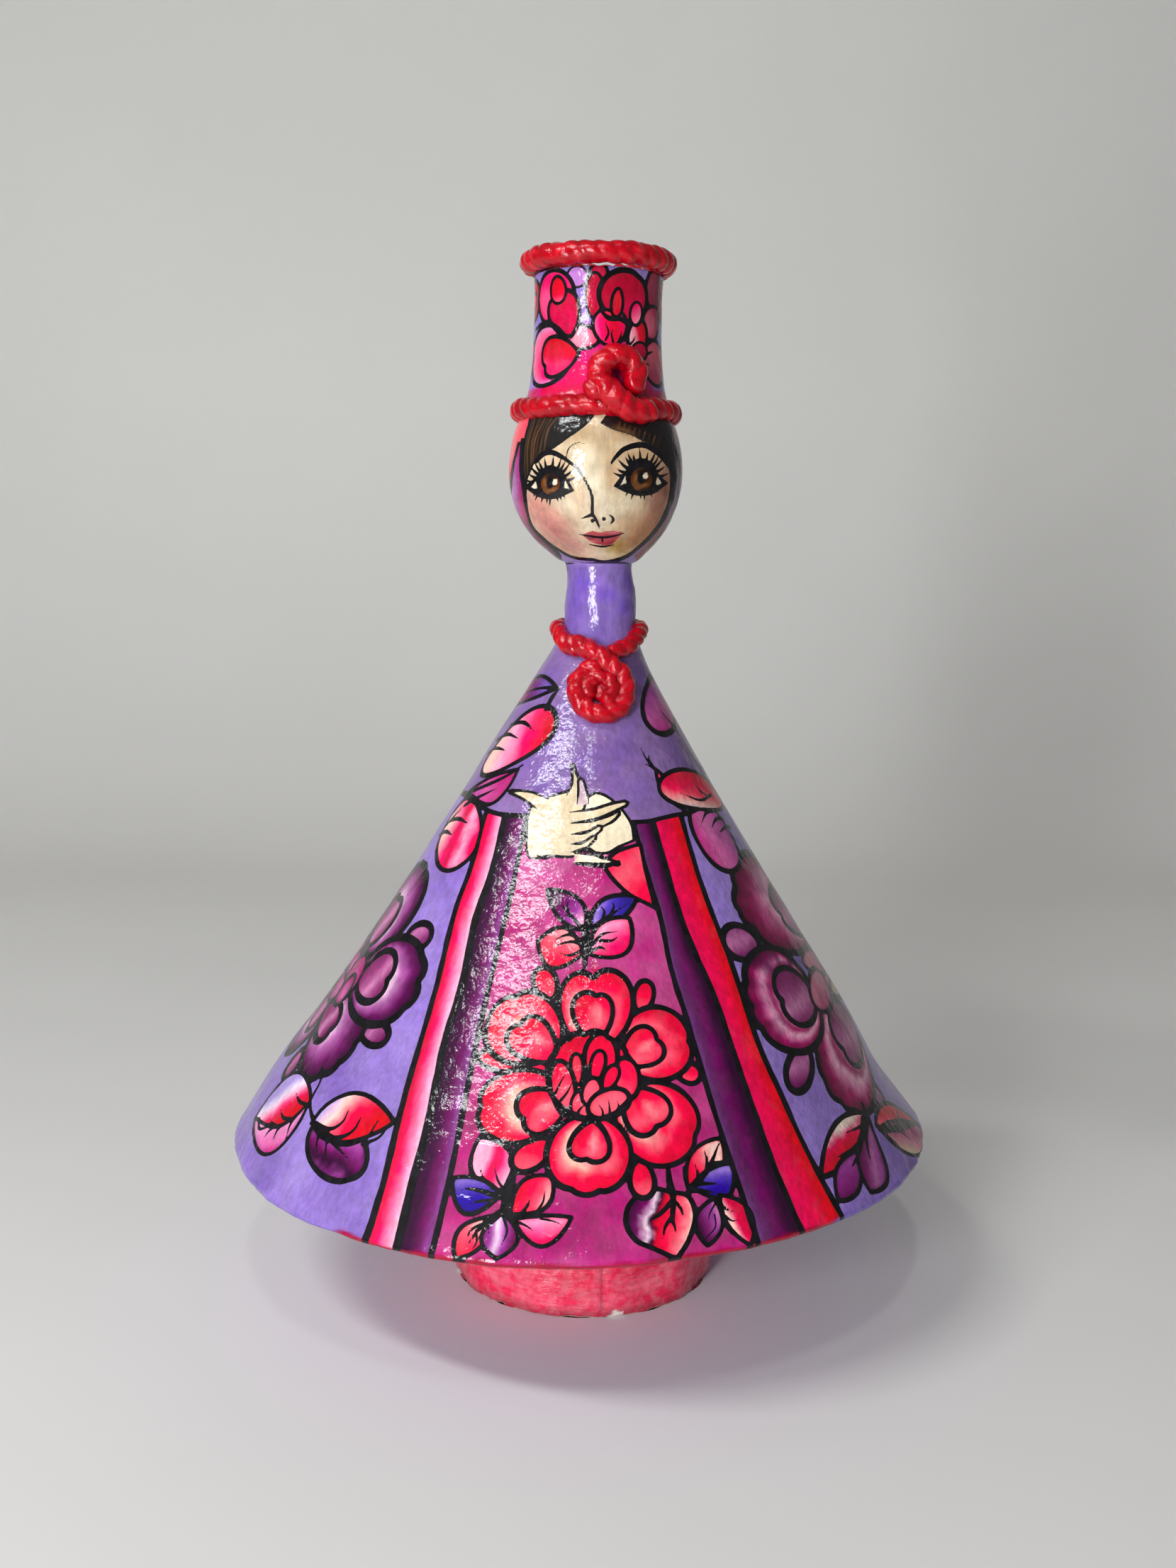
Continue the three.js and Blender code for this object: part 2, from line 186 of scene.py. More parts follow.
class Chart:
    """Colour and brush lines at points of a flat chart. ink is how far inside a black line a point
    is, in mm, negative outside; need is the mesh size that the painting asks for there."""

    def __init__(self, x, y, pad=0.0, least=0.26, grow=0.42):
        self.least, self.grow = least, grow
        self.x, self.y = np.asarray(x, float), np.asarray(y, float)
        self.n = len(self.x)
        self.pad = np.broadcast_to(np.asarray(pad, float), (self.n,))
        self.col = np.zeros((self.n, 3))
        self.ink = np.full(self.n, -6.0)
        self.need = np.full(self.n, 9.0)
        self.tone = np.zeros(self.n)

    def _near(self, P, margin):
        lo, hi = P.min(0) - margin, P.max(0) + margin
        pm = self.pad
        return np.nonzero((self.x > lo[0] - pm) & (self.x < hi[0] + pm) & (self.y > lo[1] - pm) & (self.y < hi[1] + pm))[0]

    def _ask(self, idx, gap, hw):
        size = np.where(hw >= 0.56, 0.8, np.clip(hw * 1.1, self.least, 0.8)) if self.least > 0.4 else np.clip(hw * 0.95, self.least, 0.8)
        self.need[idx] = np.minimum(self.need[idx], size + self.grow * np.maximum(0, gap - self.pad[idx]))

    def signed(self, P, margin=6.0):
        """Indices near a closed outline and their signed distance, negative inside."""
        idx = self._near(P, margin)
        x, y = self.x[idx], self.y[idx]
        best = np.full(len(idx), 1e9)
        odd = np.zeros(len(idx), bool)
        Q = np.roll(P, -1, 0)
        for (ax, ay), (bx, by) in zip(P, Q):
            ex, ey = bx - ax, by - ay
            ll = ex * ex + ey * ey
            if ll < 1e-12:
                continue
            t = np.clip(((x - ax) * ex + (y - ay) * ey) / ll, 0, 1)
            best = np.minimum(best, (x - ax - t * ex) ** 2 + (y - ay - t * ey) ** 2)
            if ay != by:
                odd ^= ((ay > y) != (by > y)) & (x < ex * (y - ay) / (by - ay) + ax)
        d = np.sqrt(best)
        return idx, np.where(odd, -d, d)

    def fill(self, P, colour, hw=1.0, wob=0.16, keep_ink=False, ask=True, seed=0):
        """Paint a closed outline and, if hw, its brush line. Covers what was under it."""
        idx, sd = self.signed(P, 5.0 + hw)
        if not len(idx):
            return
        ins = sd < 0
        k = idx[ins]
        if len(k):
            self.col[k] = colour(self.x[k], self.y[k], -sd[ins]) if callable(colour) else colour
        if not keep_ink:
            self.ink[idx] = np.minimum(self.ink[idx], sd)
        if hw:
            h = hw * (1 + wob * vnoise(self.x[idx], self.y[idx], 7.0, 31 + seed))
            self.ink[idx] = np.maximum(self.ink[idx], h - np.abs(sd))
        if ask:
            self._ask(idx, np.abs(np.abs(sd) - hw), max(hw, 0.5))

    def tint(self, P, colour, amount=1.0, soft=1.5, keep_ink=True):
        """A soft-edged wash inside an outline, under the lines."""
        idx, sd = self.signed(P, soft + 1)
        w = (amount * smooth(0.5 - sd / (2 * soft)))[:, None]
        c = colour(self.x[idx], self.y[idx], np.maximum(0, -sd)) if callable(colour) else colour
        self.col[idx] = self.col[idx] * (1 - w) + c * w

    def dab(self, cx, cy, rx, ry, rot, colour, amount=1.0, power=1.5, warp=0.0, seed=0):
        """A soft round touch of colour, under the lines."""
        idx = self._near(np.array([[cx, cy]]), 2.2 * max(rx, ry))
        r = np.radians(rot)
        dx, dy = self.x[idx] - cx, self.y[idx] - cy
        u, v = (dx * np.cos(r) + dy * np.sin(r)) / rx, (-dx * np.sin(r) + dy * np.cos(r)) / ry
        q = np.hypot(u, v)
        if warp:
            q = q + warp * fnoise(self.x[idx], self.y[idx], max(rx, ry), seed)
        w = (amount * np.exp(-np.maximum(0, q) ** (2 * power)))[:, None]
        self.col[idx] = self.col[idx] * (1 - w) + colour * w

    def stroke(self, P, widths, colour=None, wob=0.1, seed=0, ask=True):
        """A brush line through points; widths are its half widths at equal steps along it."""
        P = np.asarray(P, float)
        widths = np.atleast_1d(np.asarray(widths, float))
        seg = np.hypot(*np.diff(P, axis=0).T)
        s = np.concatenate([[0], np.cumsum(seg)])
        hw_at = lambda q: np.interp(q / max(s[-1], 1e-9), np.linspace(0, 1, len(widths)), widths) if len(widths) > 1 else np.full(np.shape(q), widths[0])
        idx = self._near(P, widths.max() + 4.0)
        if not len(idx):
            return
        x, y = self.x[idx], self.y[idx]
        best = np.full(len(idx), -1e9)
        for i in range(len(P) - 1):
            ex, ey = P[i + 1] - P[i]
            ll = ex * ex + ey * ey
            if ll < 1e-12:
                continue
            t = np.clip(((x - P[i][0]) * ex + (y - P[i][1]) * ey) / ll, 0, 1)
            d = np.sqrt((x - P[i][0] - t * ex) ** 2 + (y - P[i][1] - t * ey) ** 2)
            best = np.maximum(best, hw_at(s[i] + t * seg[i]) - d)
        if wob:
            best = best + wob * widths.max() * vnoise(x, y, 5.0, 57 + seed)
        if colour is None:
            self.ink[idx] = np.maximum(self.ink[idx], best)
        else:
            w = smooth(0.5 + best / 0.5)[:, None]
            self.col[idx] = self.col[idx] * (1 - w) + colour * w
        if ask:
            self._ask(idx, np.abs(best), max(float(widths.max()), 0.22))


# colour rules: each takes x, y and the depth below the outline
def toward(cx, cy, near, far, r0, r1, seed=0, warp=1.5):
    """From one colour close to a point to another away from it."""
    def rule(x, y, d):
        q = np.hypot(x - cx, y - cy) + warp * fnoise(x, y, 6.0, seed)
        w = smooth((q - r0) / (r1 - r0))[:, None]
        return near * (1 - w) + far * w
    return rule


def along(p, q, stops, seed=0, warp=0.08, scale=5.0):
    """Colours placed along the way from p to q."""
    p, q = np.array(p, float), np.array(q, float)
    d = q - p
    ll = d @ d
    at = np.array([s[0] for s in stops])
    cs = np.array([s[1] for s in stops])
    def rule(x, y, dep):
        t = ((x - p[0]) * d[0] + (y - p[1]) * d[1]) / ll + warp * fnoise(x, y, scale, seed)
        return np.stack([np.interp(t, at, cs[:, k]) for k in range(3)], -1)
    return rule


def rim(rule, colour, width, amount=1.0):
    """The rule with a darker wash along the outline."""
    def out(x, y, d):
        w = (amount * (1 - smooth(d / width)))[:, None]
        return rule(x, y, d) * (1 - w) + colour * w
    return out

# ------------------------------------------------------------------ the colours of the paint
LILAC, LILAC_PALE, LILAC_DEEP, CHEST = C(144, 118, 192), C(172, 150, 214), C(112, 84, 164), C(132, 102, 156)
ORCHID, ORCHID_PALE, ORCHID_DARK = C(174, 52, 116), C(204, 102, 158), C(134, 28, 84)
CORAL, CORAL_PALE, CORAL_DEEP, SHELL = C(238, 40, 74), C(247, 88, 110), C(208, 8, 44), C(255, 204, 192)
PLUM, PLUM_PALE, PLUM_DARK, PLUM_LILAC = C(104, 16, 84), C(152, 62, 146), C(46, 4, 42), C(126, 74, 148)
MAUVE, MAUVE_PALE, MAUVE_DARK = C(160, 40, 108), C(226, 146, 186), C(92, 8, 58)
CRIMSON, CRIMSON_DARK, PINK, PINK_PALE = C(222, 0, 66), C(186, 0, 44), C(244, 92, 142), C(252, 168, 198)
RED, RED_DEEP = C(226, 0, 60), C(200, 0, 22)
BLUE, BLUE_PALE = C(48, 30, 150), C(150, 120, 200)
CREAM, CREAM_PALE, CREAM_DARK = C(218, 198, 164), C(236, 222, 194), C(186, 156, 118)

FLOWER, LEAF, VEIN, FINE = 0.95, 0.74, 0.52, 0.46       # half widths of the brush lines


def leaf(ch, base, tip, wl, wr, rule, fat=0.45, bend=0.0, hw=LEAF, mid=0.85, veins=(), vein_w=0.5, side_l=None, seed=0):
    """One leaf. rule colours all of it, side_l the half to the left of the way it points."""
    L, R, m = leaf_sides(base, tip, wl, wr, fat, bend)
    ch.fill(np.vstack([L, R[::-1]]), rule, hw, seed=seed)
    if side_l is not None:
        ch.fill(np.vstack([L, m[::-1]]), side_l, 0, keep_ink=True, ask=False)
    if mid:
        k = max(3, int(mid * (len(m) - 1)) + 1)
        ch.stroke(m[:k], [0.75, 0.55, 0.15], seed=seed)
    base, tip = np.array(base, float), np.array(tip, float)
    d = tip - base
    for at, side, reach in veins:                     # from the midrib out and forwards
        p = m[int(at * (len(m) - 1))]
        edge = (L if side > 0 else R)[min(len(m) - 1, int((at + 0.22) * (len(m) - 1)))]
        q = p + (edge - p) * reach
        c = (p + q) / 2 + d * 0.06
        ch.stroke(spline([p, c, q], n=5), [vein_w, vein_w * 0.8, 0.1], seed=seed)
    return m


def petal(ch, cx, cy, a, b, rot, taper, notches, rule, hw=FLOWER, seed=0):
    P = blob(cx, cy, a, b, rot, taper, notches)
    ch.fill(P, rule, hw, seed=seed)
    return P


def heart(ch, cx, cy, a, b, rot, notch, rule, hw=0.85, taper=0.28, seed=0):
    return petal(ch, cx, cy, a, b, rot, taper, [(notch, 0.26, 20), (180, -0.12, 18)], rule, hw, seed)


def banded(hx, hy, r, stops, seed, grain=0.14):
    """Bands that follow the petal: 0 at the small heart inside it, 1 at its outline."""
    at = [q[0] for q in stops]
    def rule(x, y, d):
        q = np.maximum(0, np.hypot(x - hx, y - hy) - r)
        t = q / np.maximum(0.3, q + d) + grain * fnoise(x, y, 7.5, seed) + 0.03 * vnoise(x, y, 1.8, seed + 3)
        c = np.stack([np.interp(t, at, [k[1][i] for k in stops]) for i in range(3)], -1)
        return c * (1 + 0.05 * vnoise(x, y, 2.6, seed + 9)[:, None])
    return rule


def coral_petal(hx, hy, r, seed):
    """Red at the outer edge, shell pink on one side of the small heart inside."""
    lit = banded(hx, hy, r, [(0, SHELL), (0.22, C(250, 182, 164)), (0.48, CORAL_PALE * 0.99), (0.75, CORAL), (1, CORAL_DEEP)], seed)
    dull = banded(hx, hy, r, [(0, CORAL), (0.3, CORAL_PALE), (0.6, CORAL), (1, CORAL_DEEP)], seed + 5)
    def rule(x, y, d):
        w = smooth(0.5 + ((hx - x) * 0.75 + (hy - y) * 0.25) / 9.0 + 0.35 * fnoise(x, y, 9.0, seed + 2))[:, None]
        return lit(x, y, d) * w + dull(x, y, d) * (1 - w)
    return rule


def mauve_petal(hx, hy, r, seed, dark=MAUVE_DARK):
    """Pale round the small heart, mauve with a second pale band, then dark at the edge."""
    if hx > 0:                                           # to the right: the pale band stands clear of the heart
        stops = [(0, C(150, 34, 92)), (0.12, C(214, 116, 162)), (0.26, C(164, 40, 100)), (0.44, C(248, 190, 212)), (0.58, C(222, 124, 170)), (0.76, C(150, 22, 88)), (1, C(86, 0, 44))]
    else:
        stops = [(0, C(246, 220, 236)), (0.18, C(228, 186, 216)), (0.36, C(172, 100, 160)), (0.54, C(150, 70, 138)), (0.74, C(92, 16, 78)), (1, C(44, 0, 38))]
    lit = banded(hx, hy, r, stops, seed, 0.10)
    dull = banded(hx, hy, r, [(0, C(136, 46, 106)), (0.4, C(120, 32, 92)), (0.75, C(90, 12, 66)), (1, C(48, 0, 34))], seed + 5, 0.10)
    def rule(x, y, d):
        a = np.arctan2(y - hy, x - hx)
        streak = 0.5 * vnoise(np.cos(a) * 5.0, np.sin(a) * 5.0, 0.9, seed + 4) + 0.35 * fnoise(x, y, 9.0, seed + 2)
        w = smooth(0.92 + 0.45 * np.cos(a + 1.15) + 0.8 * streak)[:, None]
        c = lit(x, y, d) * w + dull(x, y, d) * (1 - w)
        return c * (1 + 0.10 * streak[:, None])
    return rule


def small_mauve(x, y, seed):
    return rim(along((x - 3, y + 5), (x + 3, y - 5), [(0, C(140, 60, 118)), (0.4, C(184, 108, 158)), (1, C(92, 14, 70))], seed, 0.12), C(76, 4, 56), 2.0, 0.7)


def mauve_heart(hx, hy, ha, seed):
    """The small heart inside a mauve petal: dark at its line, a soft pale patch below the middle."""
    base = along((hx - ha * 0.7, hy + ha), (hx + ha * 0.6, hy - ha), [(0, C(104, 20, 78)), (0.35, C(142, 54, 112)), (0.6, C(204, 128, 174)), (0.8, C(150, 62, 120)), (1, C(104, 22, 78))], seed, 0.12)
    return rim(base, C(92, 6, 60), 1.8, 0.7)


def peony(ch):
    """The big flower of the front panel: six petals, each with a small heart, round a cup."""
    for i, (x, y, a, b, rot) in enumerate([(-13.2, -144, 3.6, 5.6, 112), (18, -147.8, 3.1, 5.6, 78), (32.6, -171.6, 3.4, 4.4, -12),
                                           (-22.5, -169.6, 3.6, 11.8, 166), (-15.5, -198.5, 4.3, 7.0, 214), (17.5, -206.5, 3.8, 6.0, -82)]):
        petal(ch, x, y, a, b, rot, 0.15, [], rim(along((x, y + b), (x, y - b), [(0, CORAL_DEEP), (0.5, CORAL), (1, CORAL_PALE)], i), CORAL_DEEP, 1.6, 0.4), 0.9, i)
    rows = [  # petal centre, half width, half length, direction, taper, notches; heart centre, half width, half length, direction, notch
        (22.2, -163.0, 12.0, 12.4, 32, 0.05, [(-22, 0.13, 14)], 17.6, -164.6, 6.2, 7.4, 36, -2),
        (-19.6, -158.6, 12.0, 12.8, 146, 0.10, [(-40, 0.14, 14), (24, 0.05, 12)], -16.6, -162.6, 6.6, 9.0, 138, -12),
        (2.8, -151.2, 11.8, 14.6, 88, 0.12, [(8, 0.40, 24)], 2.0, -154.4, 6.2, 8.4, 96, -14),
        (22.6, -188.6, 13.2, 14.2, -36, 0.05, [(20, 0.12, 13)], 18.6, -184.6, 7.4, 8.2, -48, -4),
        (-20.0, -183.4, 11.6, 13.6, 194, 0.06, [(-16, 0.13, 12), (40, 0.05, 16)], -13.4, -184.8, 7.0, 7.8, 202, 6),
        (1.4, -199.0, 12.9, 12.8, -92, 0.04, [(-24, 0.09, 10), (16, 0.10, 9)], 1.6, -195.4, 6.0, 6.6, -96, -4),
    ]
    for i, (x, y, a, b, rot, tp, nt, hx, hy, ha, hb, hrot, hn) in enumerate(rows):
        P = petal(ch, x, y, a, b, rot, tp, nt, coral_petal(hx, hy, ha * 0.95, i), FLOWER, i)
        r = np.radians(rot)
        for k, off in enumerate((-0.55, 0.1, 0.62)):          # darker touches towards the rim
            ch.dab(x + 0.7 * b * np.cos(r + off), y + 0.7 * b * np.sin(r + off), 3.4, 2.0, rot + 60 * off, CORAL_DEEP, 0.45, 1.2, 0.3, i * 3 + k)
        heart(ch, hx, hy, ha, hb, hrot, hn, rim(along((hx - 4, hy + 6), (hx + 4, hy - 6), [(0, CORAL_DEEP), (0.42, CORAL), (0.68, CORAL_PALE), (1, CORAL)], i + 9, 0.15), CORAL_DEEP, 1.8, 0.45), 0.85, seed=i)
        ch.dab(hx + 1.2, hy + 0.8, 1.4, 3.2, hrot - 90, SHELL, 0.55, 1.3, 0.2, i)
    cup = rim(along((0, -160), (4, -188), [(0, CORAL_DEEP), (0.4, CORAL), (0.75, CORAL_PALE), (1, CORAL)], 4, 0.1), CORAL_DEEP, 2.4, 0.5)
    ch.fill(blob(1.6, -173.4, 13.4, 14.6, 90, 0.0, [(10, 0.14, 9), (34, 0.06, 6), (-30, 0.16, 12), (-62, 0.06, 8), (62, 0.05, 8)]), cup, 0.95)
    ch.fill(blob(12.6, -174.6, 4.2, 6.6, 100, 0.1), cup, 0.8)
    ch.fill(blob(4.6, -168.2, 5.2, 8.0, 88, 0.0, [(-24, 0.1, 10)]), cup, 0.85)
    ch.fill(blob(3.4, -171.4, 2.2, 5.6, 78, 0.25), rim(lambda x, y, d: CORAL * np.ones((len(x), 1)), CORAL_DEEP, 1.4, 0.9), 0.6)
    ch.fill(blob(-2.7, -172.0, 1.9, 5.0, 96, 0.2), rim(lambda x, y, d: CORAL * np.ones((len(x), 1)), CORAL_DEEP, 1.4, 0.9), 0.6)
    ch.fill(blob(7.6, -174.6, 2.2, 4.4, 66, 0.15), rim(lambda x, y, d: CORAL * np.ones((len(x), 1)), CORAL_DEEP, 1.4, 0.9), 0.6)
    ch.fill(blob(-6.9, -178.0, 3.7, 8.8, 100, 0.05), cup, 0.75)
    ch.fill(blob(-0.2, -183.0, 4.2, 5.2, 62, 0.1), rim(lambda x, y, d: CORAL_PALE * np.ones((len(x), 1)), CORAL, 1.6, 0.6), 0.6)
    ch.fill(blob(1.8, -179.2, 3.0, 4.6, 80, 0.0), rim(lambda x, y, d: CORAL_PALE * np.ones((len(x), 1)), CORAL, 1.6, 0.7), 0.7)
    ch.fill(blob(7.2, -182.8, 4.4, 6.8, 24, 0.0), rim(lambda x, y, d: CORAL_PALE * np.ones((len(x), 1)), CORAL, 2.0, 0.7), 0.8)
    ch.stroke(spline([(-10.6, -180.0), (-6.4, -184.8), (1.3, -188.0), (8.6, -186.2), (13.6, -181.4)]), [0.75, 1.0, 1.0, 0.8])
    for p, q, r in (((-9.4, -180), (-7.6, -176), (-6.0, -173.2)), ((-7.6, -182), (-5.6, -179.4), (-4.4, -176.6)), ((5.4, -187.2), (5.2, -185), (3.6, -182.6)),
                    ((7.6, -186.8), (7.4, -184), (7.0, -181.4)), ((9.6, -185.6), (10.2, -183.6), (9.8, -181.8)), ((-2.6, -186.6), (-1.4, -184.4), (0.6, -183.0))):
        ch.stroke(spline([p, q, r], n=5), [0.5, 0.35, 0.1])


def sprigs(ch):
    """Three sprigs of leaves on the front panel."""
    coral = lambda p, q, s=0: rim(along(p, q, [(0, SHELL), (0.35, CORAL_PALE), (0.75, CORAL), (1, CORAL_DEEP)], s, 0.12), CORAL_DEEP, 1.8, 0.45)
    pink = lambda p, q, s=0: rim(along(p, q, [(0, PINK_PALE), (0.4, PINK), (1, CRIMSON)], s, 0.12), CRIMSON, 2.0, 0.55)
    blue = lambda p, q, s=0: rim(along(p, q, [(0, BLUE_PALE), (0.3, C(84, 60, 172)), (0.6, BLUE), (1, BLUE * 0.8)], s, 0.12), BLUE * 0.8, 1.6, 0.5)
    plum = lambda p, q, s=0: rim(along(p, q, [(0, MAUVE_PALE), (0.25, PLUM_PALE), (0.7, PLUM), (1, PLUM_DARK)], s, 0.12), PLUM_DARK, 1.6, 0.5)
    # above the flower
    leaf(ch, (-1.4, -126.0), (-13.6, -112.2), 3.4, 5.6, plum((-3, -124), (-13, -116), 1), veins=((0.3, 1, .7), (0.45, -1, .7)), vein_w=0.45)
    leaf(ch, (1.0, -125.4), (16.0, -114.2), 5.6, 3.2, blue((3, -119), (14, -121), 2), veins=((0.25, 1, .75), (0.45, 1, .7), (0.35, -1, .6)), vein_w=0.55)
    leaf(ch, (-1.2, -134.0), (-16.2, -129.6), 7.4, 6.6, coral((-6, -126), (-13, -138), 3), fat=0.55, mid=0, seed=3)
    leaf(ch, (1.0, -134.4), (13.4, -121.4), 5.2, 7.4, pink((4, -126), (12, -134), 4), fat=0.5, mid=0, seed=4)
    for P in ([(-2.0, -133.0), (-5.6, -134.6), (-9.0, -133.8)], [(-1.6, -131.0), (-5.6, -130.0), (-10.4, -131.2)], [(-3.0, -129.0), (-6.4, -127.6), (-10.6, -129.2)],
              [(1.4, -133.0), (4.2, -131.8), (6.6, -133.4)], [(1.4, -131.0), (4.6, -127.4), (9.6, -126.2)], [(4.0, -129.6), (7.6, -129.4), (9.6, -128.0)]):
        ch.stroke(spline(P, n=5), [0.62, 0.5, 0.12])
    ch.stroke(spline([(-0.6, -125.0), (-0.9, -131.0), (-0.8, -137.5)]), [1.5, 1.3, 0.8])
    ch.stroke(spline([(-0.8, -137.5), (-1.2, -141.0), (-1.0, -144.0)]), [0.6, 0.5])
    # lower left
    leaf(ch, (-24.2, -209.6), (-31.6, -192.6), 6.2, 6.6, along((-33, -200), (-22, -203), [(0, PINK_PALE), (0.3, PINK_PALE), (0.55, CRIMSON), (0.75, PINK), (1, PINK_PALE)], 5), fat=0.5, mid=0, seed=5)
    leaf(ch, (-24.6, -210.6), (-39.6, -205.0), 8.8, 2.4, blue((-30, -205), (-30, -216), 6), fat=0.5, mid=0, seed=6)
    leaf(ch, (-24.4, -216.6), (-37.6, -229.6), 3.0, 5.8, coral((-31, -219), (-38, -229), 7), fat=0.6, mid=0, seed=7)
    leaf(ch, (-24.0, -216.0), (-25.2, -230.2), 5.6, 5.4, along((-31, -222), (-20, -224), [(0, PLUM), (0.35, PLUM_PALE), (0.5, C(226, 200, 222)), (0.7, PLUM_PALE), (1, MAUVE_DARK)], 8), fat=0.55, mid=0, seed=8)
    leaf(ch, (-21.6, -216.8), (-9.6, -205.6), 5.0, 5.8, coral((-10, -212), (-19, -209), 9), fat=0.55, mid=0, seed=9)
    leaf(ch, (-20.6, -218.4), (-3.6, -218.2), 0.8, 8.6, pink((-12, -218), (-12, -227), 10), fat=0.5, mid=0, seed=10)
    for P, w in (([(-24.4, -210.2), (-28.4, -207.4), (-31.0, -203.0), (-30.6, -200.0)], .6), ([(-23.6, -209.4), (-25.6, -206.4), (-26.8, -202.4)], .5),
                 ([(-25.0, -211.6), (-29.6, -209.6), (-34.6, -208.4), (-37.6, -208.8)], .9), ([(-26.0, -212.4), (-30.6, -212.4), (-34.0, -213.0)], .6),
                 ([(-19.0, -217.6), (-16.4, -213.8), (-16.6, -210.6)], .6), ([(-14.6, -217.4), (-12.2, -213.6), (-11.6, -210.0)], .5),
                 ([(-21.0, -217.8), (-14.0, -217.6), (-3.6, -217.8)], .85), ([(-20.0, -219.0), (-17.0, -220.4), (-14.8, -222.0)], .5), ([(-12.6, -218.4), (-8.6, -219.4), (-6.6, -220.4)], .4),
                 ([(-25.0, -216.0), (-30.4, -220.4), (-34.6, -226.6)], .9), ([(-30.4, -219.6), (-33.0, -221.0), (-34.6, -223.8)], .6), ([(-31.6, -221.4), (-31.4, -225.0), (-32.6, -227.0)], .5),
                 ([(-24.0, -216.6), (-28.0, -220.6), (-27.0, -224.4)], .6), ([(-23.6, -217.6), (-22.4, -222.0), (-24.0, -226.2)], .5)):
        ch.stroke(spline(P, n=5), [w, w * 0.8, 0.15])
    ch.stroke(spline([(-20.4, -202.4), (-22.0, -207.0), (-22.6, -212.0), (-24.0, -216.4)]), [0.7, 1.5, 1.9, 1.2])
    # lower right
    ch.fill(np.vstack([spline([(27.0, -210.4), (20.0, -209.6), (14.0, -214.0), (12.6, -220.0), (15.6, -225.4), (21.0, -228.0), (28.2, -231.4)]),
                       spline([(28.2, -231.4), (32.2, -225.0), (34.4, -217.4), (32.2, -211.6), (27.0, -210.4)])]),
            along((13, -217), (33, -221), [(0, PLUM_DARK), (0.22, PLUM), (0.34, C(238, 214, 226)), (0.42, PLUM_DARK), (0.5, CORAL_DEEP), (0.66, CORAL), (0.82, CORAL_PALE), (1, SHELL)], 11, 0.1, 4.0), 0.85)
    leaf(ch, (32.6, -210.0), (43.6, -192.6), 5.6, 6.2, coral((41, -200), (32, -204), 12), fat=0.5, mid=0, seed=12)
    leaf(ch, (33.0, -208.6), (47.6, -200.6), 2.0, 8.4, blue((41, -203), (42, -212), 13), fat=0.55, mid=0, seed=13)
    leaf(ch, (40.6, -212.2), (38.0, -227.0), 4.0, 5.0, plum((43, -218), (35, -222), 14), fat=0.5, mid=0, seed=14)
    leaf(ch, (42.4, -211.0), (52.4, -226.6), 6.4, 2.8, along((44, -219), (52, -215), [(0, SHELL), (0.25, SHELL), (0.5, CRIMSON), (1, CRIMSON_DARK)], 15), fat=0.5, mid=0, seed=15)
    for P, w in (([(27.0, -209.4), (27.4, -214.0), (27.0, -219.0), (28.6, -224.0)], 1.1), ([(27.0, -212.6), (29.4, -215.0), (31.0, -219.0)], .7), ([(26.8, -213.4), (23.0, -217.4), (18.6, -220.0)], .9),
                 ([(27.0, -218.0), (24.8, -221.0), (23.8, -225.0)], .7), ([(33.0, -209.4), (37.0, -205.6), (40.0, -201.0), (43.4, -193.4)], .95), ([(35.2, -207.2), (35.4, -203.6), (34.4, -200.8)], .6),
                 ([(38.4, -203.4), (38.6, -199.0), (37.4, -196.4)], .6), ([(34.0, -208.2), (38.4, -207.4), (43.4, -207.4)], .7), ([(36.0, -209.4), (38.6, -209.8), (41.0, -210.2)], .5), ([(40.4, -201.0), (44.0, -200.4), (47.4, -200.8)], .7),
                 ([(42.6, -212.0), (43.6, -216.4), (44.4, -221.0)], .8), ([(43.0, -214.0), (45.4, -215.6), (48.0, -215.8)], .6), ([(43.8, -217.0), (46.2, -218.8), (48.4, -218.6)], .5),
                 ([(44.2, -220.6), (46.4, -223.2), (48.2, -223.6)], .5), ([(41.0, -213.6), (39.0, -217.0), (38.6, -219.4)], .4), ([(40.6, -217.0), (40.8, -221.0), (37.6, -224.6)], .35)):
        ch.stroke(spline(P, n=5), [w, w * 0.8, 0.15])
    ch.stroke([(25.8, -203.0), (26.2, -207.0), (27.0, -210.5)], [0.8, 1.1, 1.4])
    ch.stroke([(31.0, -202.6), (31.2, -206.0), (32.6, -210.6)], [0.5, 0.6, 0.8])


LINES = dict(   # the stripe lines of the skirt, from the cape down to the hem
    l_in=[(-21.8, -86), (-25.6, -110), (-30.8, -137), (-34.5, -160), (-37, -180), (-40.2, -203), (-46.0, -233)],
    l_mid=[(-30, -83.6), (-33.5, -103), (-38.7, -120), (-41.6, -141), (-46.2, -162), (-48.7, -187), (-52.8, -207.5), (-57.6, -232)],
    l_out=[(-38.2, -80), (-42.5, -100), (-47.5, -116), (-51.6, -141), (-55, -159), (-58.3, -178), (-62, -203), (-69.0, -229)],
    r_in=[(14.5, -88.4), (18.6, -103), (23.8, -120), (27.2, -137), (32.2, -153), (37.2, -170), (42.6, -187), (48, -203), (57.0, -232)],
    r_mid=[(21.6, -87), (30.4, -117), (36.0, -131), (42.2, -144), (50.5, -167), (58.8, -189), (64.0, -203), (75.0, -229)],
    r_out=[(32.5, -82), (37.6, -100), (43.3, -116), (50, -133), (58.9, -159), (68.9, -178), (81, -201), (93.6, -224)])


